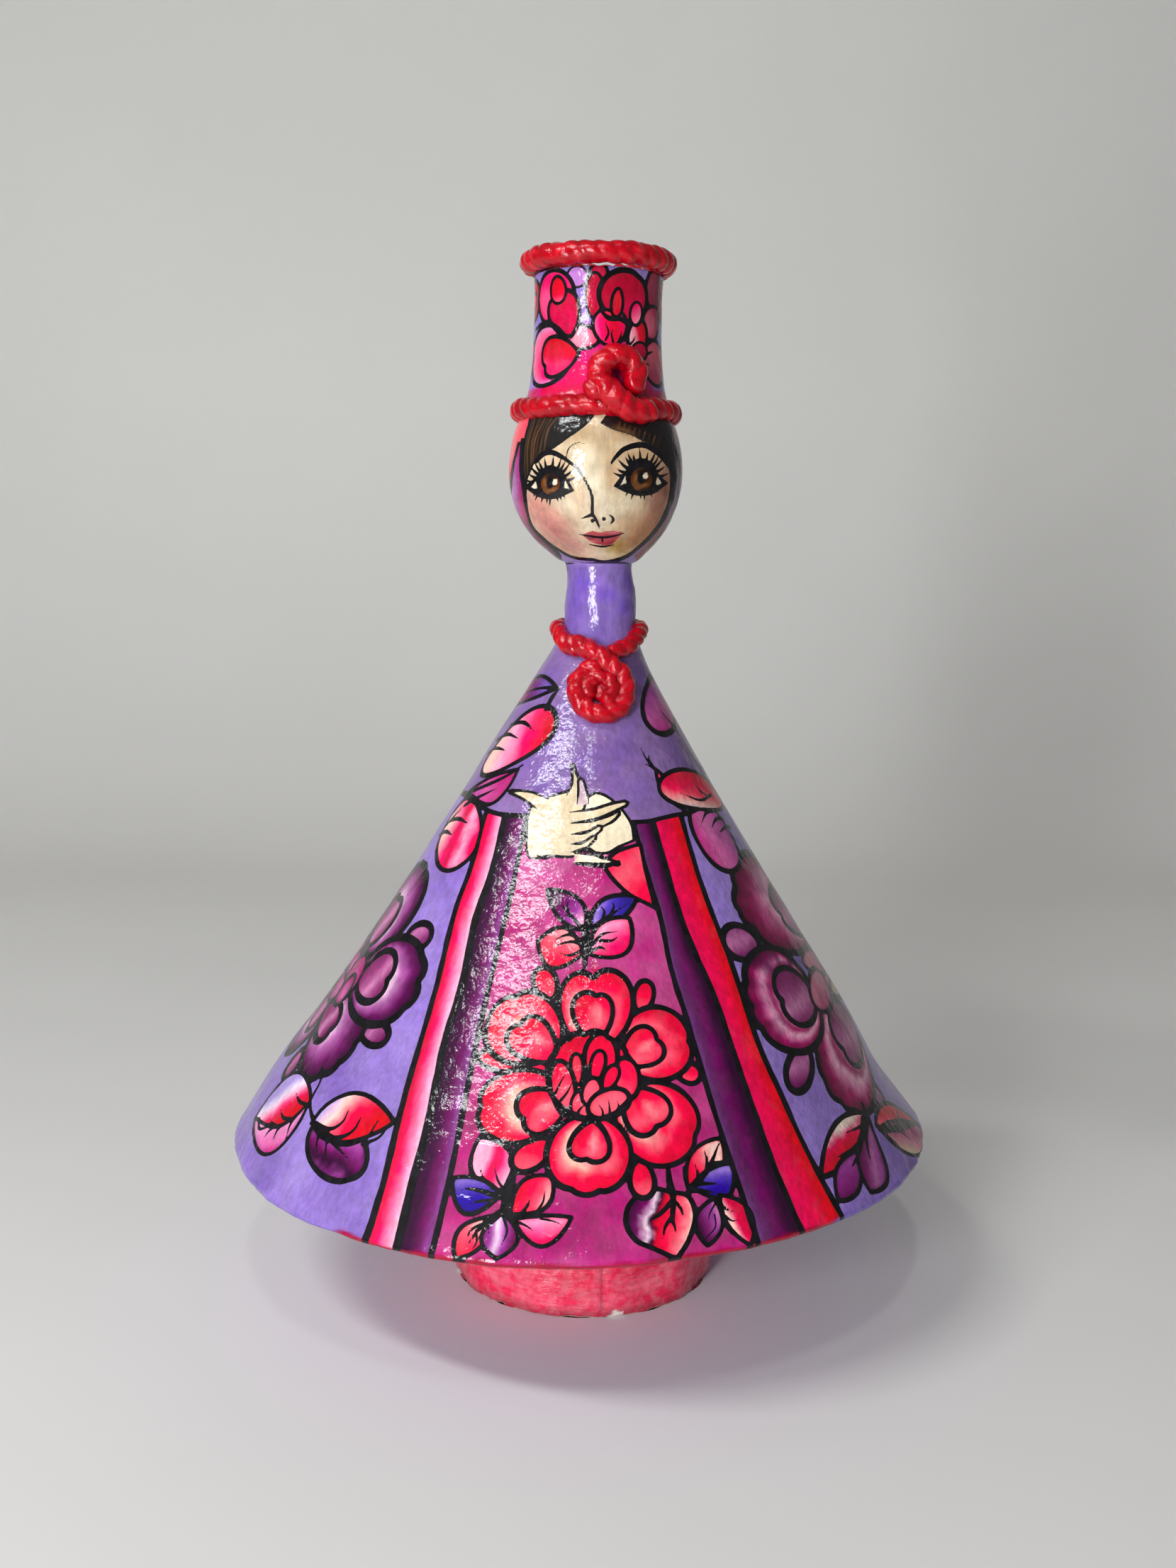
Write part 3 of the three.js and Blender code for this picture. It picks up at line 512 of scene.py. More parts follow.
def stripes(ch):
    ln = {k: spline(v, n=5) for k, v in LINES.items()}
    band = lambda a, b: np.vstack([ln[a], ln[b][::-1]])
    across = lambda stops, a, b, s: (lambda x, y, d: _across(x, y, ln[a], ln[b], stops, s))
    orchid = lambda x, y, d: mottled(x, y, ORCHID, ORCHID_PALE, ORCHID_DARK, 3)
    ch.fill(band('l_in', 'r_in'), orchid, 0, ask=False)
    ch.fill(band('l_mid', 'l_in'), across([(0, PLUM_DARK), (0.35, PLUM_DARK * 1.15), (0.62, PLUM), (0.82, C(122, 56, 120)), (1, C(128, 66, 132))], 'l_mid', 'l_in', 1), 0, ask=False)
    ch.fill(band('l_out', 'l_mid'), across([(0, CRIMSON_DARK), (0.25, CRIMSON), (0.55, PINK), (0.8, PINK_PALE), (1, PINK_PALE)], 'l_out', 'l_mid', 2), 0, ask=False)
    ch.fill(band('r_in', 'r_mid'), across([(0, PLUM_LILAC * 0.85), (0.2, PLUM_PALE * 0.62), (0.5, PLUM), (0.8, PLUM_DARK), (1, PLUM_DARK)], 'r_in', 'r_mid', 3), 0, ask=False)
    ch.fill(band('r_mid', 'r_out'), across([(0, C(226, 4, 84)), (0.5, C(234, 0, 66)), (0.8, C(222, 0, 26)), (1, C(204, 0, 8))], 'r_mid', 'r_out', 4), 0, ask=False)


def _across(x, y, A, B, stops, seed):
    """Colours placed across a stripe that lies between the lines A and B."""
    ax, bx = np.interp(-y, -A[:, 1], A[:, 0]), np.interp(-y, -B[:, 1], B[:, 0])
    t = (x - ax) / np.where(np.abs(bx - ax) < 1, 1, bx - ax)
    t = t + 0.05 * fnoise(x * 3, y * 0.3, 9.0, seed) + 0.04 * vnoise(x * 4, y * 0.3, 2.2, seed + 3)
    at = [s[0] for s in stops]
    c = np.stack([np.interp(t, at, [s[1][k] for s in stops]) for k in range(3)], -1)
    return c * (1 + 0.05 * vnoise(x * 4, y * 0.4, 3.0, seed + 5)[:, None])


def stripe_lines(ch):
    for k, w in (('l_in', 1.0), ('l_mid', 1.45), ('l_out', 1.15), ('r_in', 1.0), ('r_mid', 1.1), ('r_out', 1.15)):
        ch.stroke(spline(LINES[k], n=6), [w * 0.9, w, w, w * 1.1], wob=0.12, seed=len(k) + ord(k[0]))


def mottled(x, y, mid, pale, dark, seed=0, a=0.55):
    n1, n2 = fnoise(x, y, 17.0, seed), fnoise(x, y, 6.0, seed + 5)
    up, dn = np.clip(n1 * 1.2 + 0.3 * n2, 0, 1)[:, None] * a, np.clip(-n1 * 1.1 - 0.4 * n2, 0, 1)[:, None] * a
    return mid * (1 - up - dn) + pale * up + dark * dn


CAPE_L = [(-62, -60), (-55, -65.5), (-46.3, -73), (-37.5, -80), (-30.8, -83.4), (-21.3, -85.8)]
CAPE_R = [(13.8, -88.4), (20.8, -86.8), (30.4, -82.6), (37, -79.7), (50, -70), (66, -57)]


def cape(ch):
    """The short cape over the shoulders, from the neck down to its dark edge."""
    top = [(66, -40), (40, -12), (-40, -12), (-62, -40)]
    P = np.vstack([spline(CAPE_L, n=5), spline(CAPE_R, n=5), np.array(top, float)])
    ch.fill(P, lambda x, y, d: mottled(x, y, CHEST, LILAC, LILAC_DEEP, 21, 0.6), 0, ask=False)
    for cx, cy, rx, ry, rot in ((-12, -57, 9, 5, 30), (12, -63, 6, 4, 0), (18, -76, 7, 5, 20), (-16, -71, 6, 4, 60), (5, -46, 5, 8, 0), (-18, -33, 5, 7, 20)):
        ch.dab(cx, cy, rx, ry, rot, LILAC_DEEP * 0.96, 0.4, 1.2, 0.5, int(cx + 99))
    ch.tint(np.array([(14, -58), (21, -47), (20, -44), (10, -55), (4, -80), (8, -80)], float), LILAC_DEEP, 0.22, 0.6)
    ch.stroke(spline(CAPE_L, n=5), [1.2, 0.9, 0.9], seed=3)
    ch.stroke(spline(CAPE_R, n=5), [0.8, 0.9, 1.3], seed=4)


def shoulder_leaves(ch):
    pinkred = along((-38, -50), (-16, -58), [(0, SHELL), (0.25, PINK_PALE), (0.55, PINK), (0.8, CRIMSON), (1, RED_DEEP)], 1, 0.1)
    leaf(ch, (-13.4, -40.4), (-42.0, -30.0), 4.2, 5.4, rim(along((-36, -36), (-20, -41), [(0, MAUVE), (0.5, PLUM), (1, LILAC_DEEP)], 2), PLUM_DARK, 1.6, 0.5), fat=0.5, mid=0.7, seed=1)
    ch.fill(blob(-29.6, -55.6, 9.0, 17.2, 16, 0.12, sq=2.2), rim(pinkred, CRIMSON, 1.5, 0.3), 0.95)
    for P in ([(-46, -52), (-40.6, -53.2), (-33.6, -57.6)], [(-42, -48.6), (-34.4, -50.4), (-27.6, -55.4)], [(-34, -46.6), (-26.4, -49.2), (-20.6, -55.2)]):
        ch.stroke(spline(P, n=6), [0.85, 0.75, 0.1])
    ch.stroke(spline([(-17.0, -47.2), (-15.2, -43.6), (-12.2, -40.2)]), [0.9, 1.0, 0.4])
    leaf(ch, (-54.5, -65.8), (-26.4, -67.4), 0.2, 11.0, rim(along((-50, -68), (-32, -74), [(0, PLUM_PALE), (0.5, C(206, 88, 158)), (1, ORCHID)], 4), MAUVE, 1.6, 0.4), fat=0.66, mid=0, seed=2)
    ch.stroke(spline([(-55.0, -65.6), (-47.0, -68.0), (-38.0, -69.2), (-30.0, -68.4), (-24.8, -66.2)]), [1.1, 0.8, 0.8, 0.4])
    ch.stroke(spline([(-52.0, -72.0), (-42.0, -72.6), (-34.4, -72.4)]), [0.9, 0.8, 0.1])
    # right: a plum leaf high up, a coral and cream one at the cape's edge
    ch.fill(blob(28.4, -39.6, 8.6, 14.6, 62, 0.06, sq=2.2), rim(along((22, -36), (36, -48), [(0, PLUM_PALE), (0.45, C(186, 92, 152)), (1, MAUVE)], 5), MAUVE_DARK, 2.0, 0.6), 1.05)
    ch.stroke(spline([(38.4, -49.0), (32.0, -45.2), (25.0, -42.0)]), [0.9, 0.7, 0.1])
    ch.stroke(spline([(39.4, -50.0), (46.0, -54.4), (56.0, -60.0)]), [1.1, 1.3, 1.4])
    leaf(ch, (34.4, -79.4), (23.0, -67.6), 3.6, 1.6, along((26, -68), (31, -78), [(0, CORAL), (0.5, LILAC_PALE), (1, LILAC)], 6), fat=0.5, mid=0, hw=0.8, seed=3)
    ch.fill(blob(42.6, -68.6, 7.4, 19.4, 19, -0.06, sq=2.1), along((36, -62), (41, -80), [(0, CORAL_DEEP), (0.3, RED), (0.55, CORAL_PALE), (0.75, SHELL), (1, LILAC_PALE)], 7, 0.1), 0.85)
    for P, w in (([(52, -65.6), (43.0, -72.6), (32.8, -73.6)], .6), ([(49.0, -68.4), (43.6, -68.2), (40.0, -65.4)], .55)):
        ch.stroke(spline(P, n=6), [w, w, 0.12])
    for P in ([(23.0, -67.8), (19.6, -65.0), (16.6, -60.0)], [(22.6, -67.6), (20.0, -66.8), (18.2, -66.6)], [(21.4, -66.6), (20.4, -64.6), (20.2, -62.8)]):
        ch.stroke(spline(P, n=5), [0.7, 0.3, 0.1])


def hands(ch):
    """Two folded hands below the chest, cream, with thin grey outlines."""
    thin = 0.5
    skin = lambda x, y, d: mottled(x, y, CREAM, CREAM_PALE, CREAM_DARK, 41, 0.45)
    pale = lambda x, y, d: mottled(x, y, CREAM_PALE, CREAM_PALE, CREAM, 42, 0.4)
    # sleeve of the right-hand side, coral, with its curved dark edge
    ch.fill(np.vstack([spline([(4.6, -103.8), (8.8, -99.2), (17.0, -95.6)], n=5), spline([(17.0, -95.6), (19.2, -106.0), (22.0, -117.0)], n=5), spline([(22.0, -117.0), (13.6, -113.4), (8.0, -108.6), (4.6, -103.8)], n=5)]),
            along((6, -100), (18, -112), [(0, CORAL), (0.5, CORAL_PALE), (1, CORAL)], 31), 0.75)
    # the arm behind, pale, coming from the right
    ch.fill(np.vstack([spline([(-4, -84), (1.6, -79.0), (8.0, -81.6), (13.6, -88.2), (14.8, -94.6)], n=5), spline([(14.8, -94.6), (9.8, -97.2), (5.2, -99.8), (-2.0, -99.0)], n=5)]), pale, thin)
    # back of the front hand
    ch.fill(np.vstack([spline([(-21.6, -86.0), (-19.6, -81.6), (-14.0, -79.8), (-8.6, -78.4), (-3.0, -77.4), (-1.2, -81.0), (-2.6, -86.0)], n=5),
                       spline([(-2.6, -86.0), (2.0, -92.6), (-1.6, -97.6), (-5.0, -101.0), (-13.0, -100.6), (-20.6, -99.8), (-21.6, -86.0)], n=5)]), skin, thin)
    finger = lambda P, r, rule=skin, hw=thin: _finger(ch, P, r, rule, hw)
    finger([(-15.6, -82.6), (-21.0, -78.8), (-28.6, -75.2)], [2.4, 1.8, 0.5])
    finger([(-6.0, -80.6), (-5.0, -75.6), (-6.4, -69.0)], [2.2, 1.3, 0.35])
    finger([(-2.4, -83.0), (-2.6, -79.0), (-3.4, -74.6)], [2.0, 1.5, 0.9], lambda x, y, d: mottled(x, y, C(200, 170, 190), CREAM, LILAC_PALE, 5, 0.4))
    finger([(-7.0, -87.6), (1.0, -86.4), (7.0, -84.0), (12.0, -81.8)], [1.9, 1.8, 1.5, 0.9])
    finger([(-6.0, -91.4), (0.6, -90.4), (6.4, -88.0), (9.4, -85.6)], [1.8, 1.6, 1.2, 0.7])
    finger([(-6.0, -95.0), (-1.0, -94.2), (3.4, -91.0)], [1.6, 1.4, 0.9])
    finger([(-6.4, -98.2), (-2.2, -97.6), (1.6, -94.4)], [1.4, 1.2, 0.7])
    finger([(-5.0, -101.6), (1.6, -102.0), (9.6, -103.2)], [1.5, 1.5, 0.5], pale)
    ch.stroke(spline([(-5.0, -99.4), (-0.6, -98.6), (4.0, -101.2), (8.4, -102.2)]), [0.4, 0.9, 0.7, 0.3])
    ch.stroke(spline([(-4.6, -103.6), (2.0, -104.0), (6.4, -103.8), (9.8, -102.4)]), [0.5, 0.8, 1.0, 0.5])
    ch.stroke(spline([(-18.2, -99.4), (-15.0, -101.2), (-11.4, -100.2)]), [0.2, 0.6, 0.2])
    # a paler orchid wash below the front hand, with a straight top edge
    ch.tint(np.array([(-24, -100.4), (-4, -101.0), (-6, -104.8), (-12, -110.4), (-26, -111.0)], float), ORCHID_PALE, 0.6, 0.5)


def _finger(ch, P, r, rule, hw):
    m = spline(P, n=6)
    w = np.interp(np.linspace(0, 1, len(m)), np.linspace(0, 1, len(r)), r)
    t = np.gradient(m, axis=0)
    t /= np.hypot(t[:, 0], t[:, 1])[:, None]
    nrm = np.stack([-t[:, 1], t[:, 0]], -1) * w[:, None]
    end = m[-1] + t[-1] * w[-1]
    P = np.vstack([m + nrm, end[None], (m - nrm)[::-1]])
    ch.fill(P, rule, 0)
    ch.stroke(P, [0.1, hw, hw, hw * 1.1, hw, hw, 0.1])                # open at its root


def side_flower_left(ch):
    """A plum flower seen from the side, its petals turned away round the cone."""
    for i, (x, y, a, b, rot) in enumerate([(-62.6, -120.6, 4.6, 6.4, -20), (-76.0, -153.0, 4.0, 7.6, -28), (-119.6, -153.6, 4.4, 5.8, 250), (-128.0, -112.0, 5.0, 8.0, 150), (-100, -92, 4, 8, 80)]):
        petal(ch, x, y, a, b, rot, 0.1, [], small_mauve(x, y, i), 1.3, i)
    rows = [(-82.6, -102.0, 17.0, 19.6, 44, 0.05, [(-16, 0.12, 12), (30, 0.10, 12), (8, 0.08, 10)], -89.0, -104.0, 9.0, 10.6, 46, 4),
            (-115.6, -105.0, 14.0, 17.0, 142, 0.05, [(14, 0.12, 12), (-30, 0.08, 12)], -112.0, -107.0, 8.0, 9.4, 142, 0),
            (-127.0, -132.0, 13.4, 14.6, 205, 0.05, [(10, 0.12, 12)], -121.0, -130.6, 7.2, 8.6, 200, 0),
            (-98.8, -146.8, 17.4, 18.6, -62, 0.02, [(-24, 0.11, 10), (6, 0.10, 9), (34, 0.07, 9)], -107.0, -139.6, 7.0, 10.2, -54, 4),
            (-76.6, -133.4, 15.8, 20.8, -22, 0.08, [(8, 0.17, 11), (-30, 0.10, 11), (42, 0.08, 12)], -82.4, -130.4, 9.4, 11.0, -14, -12)]
    for i, (x, y, a, b, rot, tp, nt, hx, hy, ha, hb, hrot, hn) in enumerate(rows):
        petal(ch, x, y, a, b, rot, tp, nt, mauve_petal(hx, hy, ha * 0.95, i + 20), 1.4, i)
        heart(ch, hx, hy, ha, hb, hrot, hn, mauve_heart(hx, hy, ha, i + 3), 1.35, 0.15, i)
    for i, (x, y, a, b, rot) in enumerate([(-110.6, -123.6, 6.4, 8.2, 170), (-106.0, -116.0, 5.0, 6.6, 100), (-99.6, -124.6, 7.4, 9.4, 76), (-102.6, -129.0, 5.0, 6.4, 220)]):
        petal(ch, x, y, a, b, rot, 0.1, [(0, 0.1, 14)], rim(toward(x, y - 2, C(196, 92, 158), MAUVE, 1, 6, i), MAUVE_DARK, 2.4, 0.7), 0.95, i)
    ch.stroke(spline([(-98.2, -161.0), (-96.6, -166.0), (-98.6, -172.6)]), [0.7, 0.55, 0.7])
    ch.stroke(spline([(-99.4, -172.0), (-97.0, -176.6), (-94.6, -180.4)]), [1.0, 0.7, 0.8])
    L, R, m = leaf_sides((-98.6, -172.6), (-135.6, -171.0), 20.0, 10.4, 0.46, -3.0)
    ch.fill(np.vstack([L, R[::-1]]), rim(along((-112, -178), (-112, -193), [(0, C(232, 150, 200)), (0.5, C(222, 108, 168)), (1, CRIMSON * 0.9)], 5), PLUM_PALE, 3.0, 0.5), 0.85)
    ch.fill(np.vstack([spline([(-98.8, -173.0), (-107, -178.0), (-118, -178.4), (-135.6, -171.0)]), R[::-1]]),
            along((-116, -163), (-112, -177), [(0, LILAC_PALE), (0.25, C(236, 220, 240)), (0.45, PINK_PALE), (0.7, CRIMSON), (1, RED_DEEP)], 6, 0.1), 0.75)
    for P, w in (([(-101.4, -173.4), (-105.0, -171.6), (-108.6, -168.0)], .6), ([(-107.6, -177.6), (-112.4, -176.0), (-116.0, -171.8)], .6), ([(-116.6, -178.0), (-120.0, -176.0), (-121.6, -174.4)], .5),
                 ([(-109.0, -178.4), (-113.6, -180.0), (-115.4, -184.6)], .7), ([(-116.0, -178.4), (-120.0, -180.0), (-122.0, -182.6)], .55), ([(-102.4, -175.6), (-106.6, -179.6), (-107.4, -184.2)], .6), ([(-131.0, -172.6), (-127.6, -177.2), (-119.6, -178.0)], .6)):
        ch.stroke(spline(P, n=5), [w * 1.35, w * 1.1, 0.2])
    ch.fill(blob(-82.4, -191.6, 9.2, 15.0, -36, 0.0, [(-30, 0.05, 14)]), rim(along((-80, -184), (-88, -198), [(0, C(196, 104, 172)), (0.3, PLUM_PALE), (0.6, PLUM), (0.8, PLUM_DARK), (1, C(150, 60, 140))], 7, 0.2, 5.0), PLUM_DARK, 2.6, 0.7), 1.0)
    for P, w in (([(-95.4, -181.0), (-88.0, -186.4), (-80.0, -192.6), (-72.6, -199.0)], .8), ([(-90.6, -184.6), (-90.8, -189.6), (-89.6, -193.8)], .6), ([(-86.4, -187.6), (-86.0, -193.0), (-83.6, -197.6)], .6), ([(-84.0, -189.4), (-79.0, -189.2), (-74.4, -191.0)], .55)):
        ch.stroke(spline(P, n=5), [w, w * 0.8, 0.15])
    leaf(ch, (-94.6, -180.4), (-60.8, -185.6), 9.2, 7.2, along((-88, -175), (-76, -191), [(0, LILAC_PALE), (0.25, SHELL), (0.5, CORAL_PALE), (0.8, CORAL_DEEP), (1, RED_DEEP)], 8, 0.1), fat=0.44, mid=0, hw=0.85, seed=8)
    for P, w in (([(-94.6, -181.0), (-86.4, -184.6), (-81.0, -183.0), (-79.4, -179.0)], .7), ([(-92.0, -182.6), (-84.0, -187.8), (-76.6, -187.0), (-73.4, -182.2)], .75), ([(-86.0, -186.8), (-78.0, -190.8), (-70.4, -189.4), (-66.8, -184.4)], .75), ([(-71.6, -191.4), (-65.6, -190.0), (-62.4, -186.2)], .5)):
        ch.stroke(spline(P, n=5), [w * 1.35, w * 1.15, 0.25])
    # the leaf that hangs from under the cape
    ch.fill(blob(-52.2, -83.6, 11.4, 15.4, -66, 0.05, sq=2.2), rim(along((-62, -78), (-40, -88), [(0, SHELL), (0.3, PINK), (0.5, CRIMSON), (0.72, PINK_PALE), (1, CRIMSON)], 9, 0.16, 7.0), CRIMSON, 2.0, 0.35), 1.0)
    for P in ([(-66, -77.6), (-60.4, -79.4), (-54.6, -83.8)], [(-60, -74.6), (-53.4, -77.2), (-46.4, -82.4)], [(-64, -76.0), (-58, -73.6), (-52.6, -72.6)]):
        ch.stroke(spline(P, n=6), [0.95, 0.85, 0.1])


def side_flower_right(ch):
    for i, (x, y, a, b, rot) in enumerate([(55.0, -123.4, 6.2, 8.4, 192), (77.0, -164.4, 5.6, 9.6, 240), (128.0, -160.0, 5.0, 8.0, -40)]):
        petal(ch, x, y, a, b, rot, 0.1, [], small_mauve(x, y, i), 1.35, i)
    rows = [(82.0, -97.4, 19.6, 33.0, 208, 0.06, [(24, 0.13, 13), (-26, 0.12, 11), (0, 0.06, 10)], 98.0, -92.6, 10.4, 24.0, 208, 10),
            (120.0, -106.0, 12.0, 26.0, 30, 0.05, [(10, 0.08, 16)], 118.0, -104.0, 5.4, 14.0, 30, 0),
            (108.6, -150.4, 20.6, 27.0, 236, 0.04, [(-20, 0.09, 9), (10, 0.10, 9), (36, 0.08, 9), (-44, 0.06, 9)], 113.6, -139.6, 12.6, 16.0, 226, 8),
            (73.6, -139.6, 19.0, 20.6, 200, 0.02, [(0, 0.11, 10), (28, 0.08, 8), (-28, 0.08, 10)], 79.4, -136.8, 10.6, 12.0, 200, 6)]
    for i, (x, y, a, b, rot, tp, nt, hx, hy, ha, hb, hrot, hn) in enumerate(rows):
        petal(ch, x, y, a, b, rot, tp, nt, mauve_petal(hx, hy, ha * 0.95, i + 40), 1.4, i)
        heart(ch, hx, hy, ha, hb, hrot, hn, mauve_heart(hx, hy, ha, i + 6), 1.3, 0.1, i)
    for i, (x, y, a, b, rot) in enumerate([(112.0, -116.0, 5.0, 11.0, 32), (104.0, -113.0, 5.4, 15.6, 26), (99.0, -127.4, 7.2, 12.6, 228)]):
        petal(ch, x, y, a, b, rot, 0.0, [], rim(along((x - 8, y + 4), (x + 8, y - 4), [(0, C(226, 150, 168)), (0.4, C(214, 120, 150)), (1, MAUVE)], i), MAUVE_DARK, 2.4, 0.6), 1.0, i)
    ch.fill(blob(126, -113.4, 4.4, 16.5, 33, 0.0), C(204, 180, 146), 1.2)
    ch.stroke(spline([(112.6, -170.0), (113.6, -173.0), (114.6, -177.6)]), [1.4, 1.9, 1.4])
    cream = along((90, -178), (102, -196), [(0, CREAM_PALE), (0.3, C(240, 214, 206)), (0.5, CRIMSON), (0.75, RED_DEEP), (1, PLUM)], 3, 0.1)
    leaf(ch, (112.0, -173.4), (82.0, -202.0), 4.8, 7.4, cream, fat=0.5, mid=0, hw=0.95, seed=1)
    leaf(ch, (104.0, -188.0), (88.0, -209.4), 5.2, 5.6, rim(along((92, -198), (97, -206), [(0, PLUM_PALE), (1, PLUM)], 4), PLUM_DARK, 2.0, 0.5), fat=0.6, mid=0, hw=0.9, seed=2)
    leaf(ch, (114.0, -174.0), (104.0, -204.4), 8.8, 6.6, rim(along((104, -190), (118, -192), [(0, PLUM), (0.45, C(176, 104, 160)), (0.7, PLUM_PALE), (1, PLUM_DARK)], 5), PLUM_DARK, 2.4, 0.6), fat=0.62, mid=0, hw=1.0, seed=3)
    leaf(ch, (118.0, -176.6), (165.0, -160.6), 8.4, 3.8, along((138, -160), (141, -175), [(0, RED_DEEP), (0.4, CORAL_DEEP), (0.7, CORAL_PALE), (1, CREAM)], 6, 0.1), fat=0.45, mid=0, hw=0.95, seed=4)
    leaf(ch, (120.0, -177.6), (166.0, -161.0), 2.6, 11.6, along((138, -172), (141, -185), [(0, MAUVE), (0.35, C(214, 132, 150)), (0.7, CREAM), (1, CREAM_DARK)], 7, 0.1), fat=0.45, mid=0, hw=0.95, seed=5)
    for P, w in (([(110, -176), (103.4, -189.0), (97.0, -196.4)], 1.0), ([(112.6, -176), (108.6, -184.0), (108.0, -192.4)], 1.0), ([(104.6, -185.6), (98.6, -190.0), (90.6, -193.8)], .6), ([(109.4, -178.4), (103.0, -181.6), (97.6, -184.0)], .5),
                 ([(119.6, -177.2), (130.0, -174.6), (145.0, -168.6), (164.0, -160.8)], 1.2), ([(129.0, -174.8), (137.0, -173.0), (145.0, -174.4)], .8), ([(121.0, -178.4), (127.0, -179.6), (131.0, -180.8)], .7), ([(136.0, -172.4), (141.6, -166.0), (144.8, -161.0)], .6)):
        ch.stroke(spline(P, n=5), [w * 1.3, w * 1.1, 0.25])
    ch.fill(blob(48.6, -84.4, 11.2, 13.4, -52, 0.06, sq=2.2), rim(along((42, -92), (58, -78), [(0, C(206, 72, 146)), (0.4, C(222, 112, 176)), (0.8, C(190, 84, 168)), (1, PLUM_PALE)], 9, 0.16, 6.0), C(170, 40, 120), 2.2, 0.45), 1.05)
    for P in ([(51.6, -73.0), (45.0, -77.0), (41.0, -83.8)], [(56.0, -74.0), (50.0, -77.6), (45.8, -84.0)], [(60.0, -75.6), (55.0, -78.6), (50.4, -83.0)]):
        ch.stroke(spline(P, n=6), [0.8, 0.65, 0.1])


def back_paint(ch, side):
    """The back of the skirt: a plainer flower in the middle, leaf sprays beside it and on the shoulder."""
    rows = [(0, -128, 13, 15, 90), (17, -141, 13, 14, 18), (-17, -141, 13, 14, 162), (12, -163, 13, 15, -54), (-12, -163, 13, 15, 234)]
    for i, (x, y, a, b, rot) in enumerate([(22, -124, 4.6, 7, 50), (-22, -124, 4.6, 7, 130), (31, -157, 4.4, 7, -20), (-31, -157, 4.4, 7, 200), (0, -179, 4.6, 7, -90)]):
        petal(ch, x, y, a, b, rot, 0.1, [], small_mauve(x, y, i), 0.95, i)
    for i, (x, y, a, b, rot) in enumerate(rows):
        hx, hy = x * 0.86, -147 + (y + 147) * 0.86
        petal(ch, x, y, a, b, rot, 0.1, [(-14, 0.1, 12), (20, 0.08, 11)], mauve_petal(hx, hy, 6.4, i + 60), 1.05, i)
        heart(ch, hx, hy, 6.6, 8.0, rot, 0, mauve_heart(hx, hy, 6.6, i), 0.9, 0.15, i)
    for i in range(5):
        r = np.radians(90 + 72 * i)
        petal(ch, 5.5 * np.cos(r), -147 + 5.5 * np.sin(r), 4.6, 6.0, np.degrees(r), 0.1, [(0, 0.1, 14)], rim(toward(0, -147, C(214, 116, 176), MAUVE, 1, 9, i), MAUVE_DARK, 2.2, 0.6), 0.85, i)
    coral = lambda p, q, s: rim(along(p, q, [(0, SHELL), (0.35, CORAL_PALE), (0.75, CORAL), (1, CORAL_DEEP)], s, 0.12), CORAL_DEEP, 1.8, 0.45)
    plum = lambda p, q, s: rim(along(p, q, [(0, MAUVE_PALE), (0.25, PLUM_PALE), (0.7, PLUM), (1, PLUM_DARK)], s, 0.12), PLUM_DARK, 2.0, 0.5)
    v = ((0.2, 1, .6), (0.35, -1, .6), (0.5, 1, .55), (0.62, -1, .5))
    ch.stroke(spline([(0, -186), (1, -192), (0, -199)]), [0.7, 0.8, 0.9])
    leaf(ch, (0, -198), (-31, -193), 8.0, 7.0, coral((-8, -196), (-26, -198), 1), veins=v, seed=1)
    leaf(ch, (0, -198), (31, -195), 7.0, 8.0, coral((8, -196), (26, -200), 2), veins=v, seed=2)
    leaf(ch, (0, -199), (-17, -222), 6.4, 7.0, plum((-4, -204), (-14, -216), 3), veins=v, seed=3)
    leaf(ch, (0, -199), (17, -222), 7.0, 6.4, plum((4, -204), (14, -216), 4), veins=v, seed=4)
    ch.stroke(spline([(0, -112), (-1, -106), (0, -99)]), [0.7, 0.8, 0.9])
    leaf(ch, (0, -100), (-21, -92), 6.4, 6.0, coral((-4, -98), (-18, -94), 5), veins=v, seed=5)
    leaf(ch, (0, -100), (21, -92), 6.0, 6.4, coral((4, -98), (18, -94), 6), veins=v, seed=6)
    leaf(ch, (0, -99), (0, -78), 5.6, 5.6, plum((0, -96), (0, -80), 7), veins=v, seed=7)
    leaf(ch, (-9, -46), (-27, -62), 5.4, 5.4, coral((-10, -48), (-25, -60), 8), veins=v, seed=8)
    leaf(ch, (9, -46), (27, -62), 5.4, 5.4, plum((10, -48), (25, -60), 9), veins=v, seed=9)
    leaf(ch, (0, -60), (0, -40), 5.0, 5.0, plum((0, -58), (0, -42), 10), veins=v, seed=10)
    for s in (-1, 1):                                    # sprays that fill the bare stretches beside the flower
        for k, (bx, by, tx, ty, f) in enumerate(((58, -150, 40, -136, coral), (58, -150, 78, -138, coral), (58, -150, 59, -124, plum),
                                                 (68, -198, 48, -208, plum), (68, -198, 88, -206, coral), (68, -198, 69, -176, coral))):
            leaf(ch, (s * bx, by), (s * tx, ty), 6.2, 6.2, f((s * bx, by), (s * tx, ty), k), veins=v, seed=k + 11)


def cone_chart(th, r):
    rho, psi = r / CONE_SIN, th * CONE_SIN
    return rho * np.sin(psi), -rho * np.cos(psi)


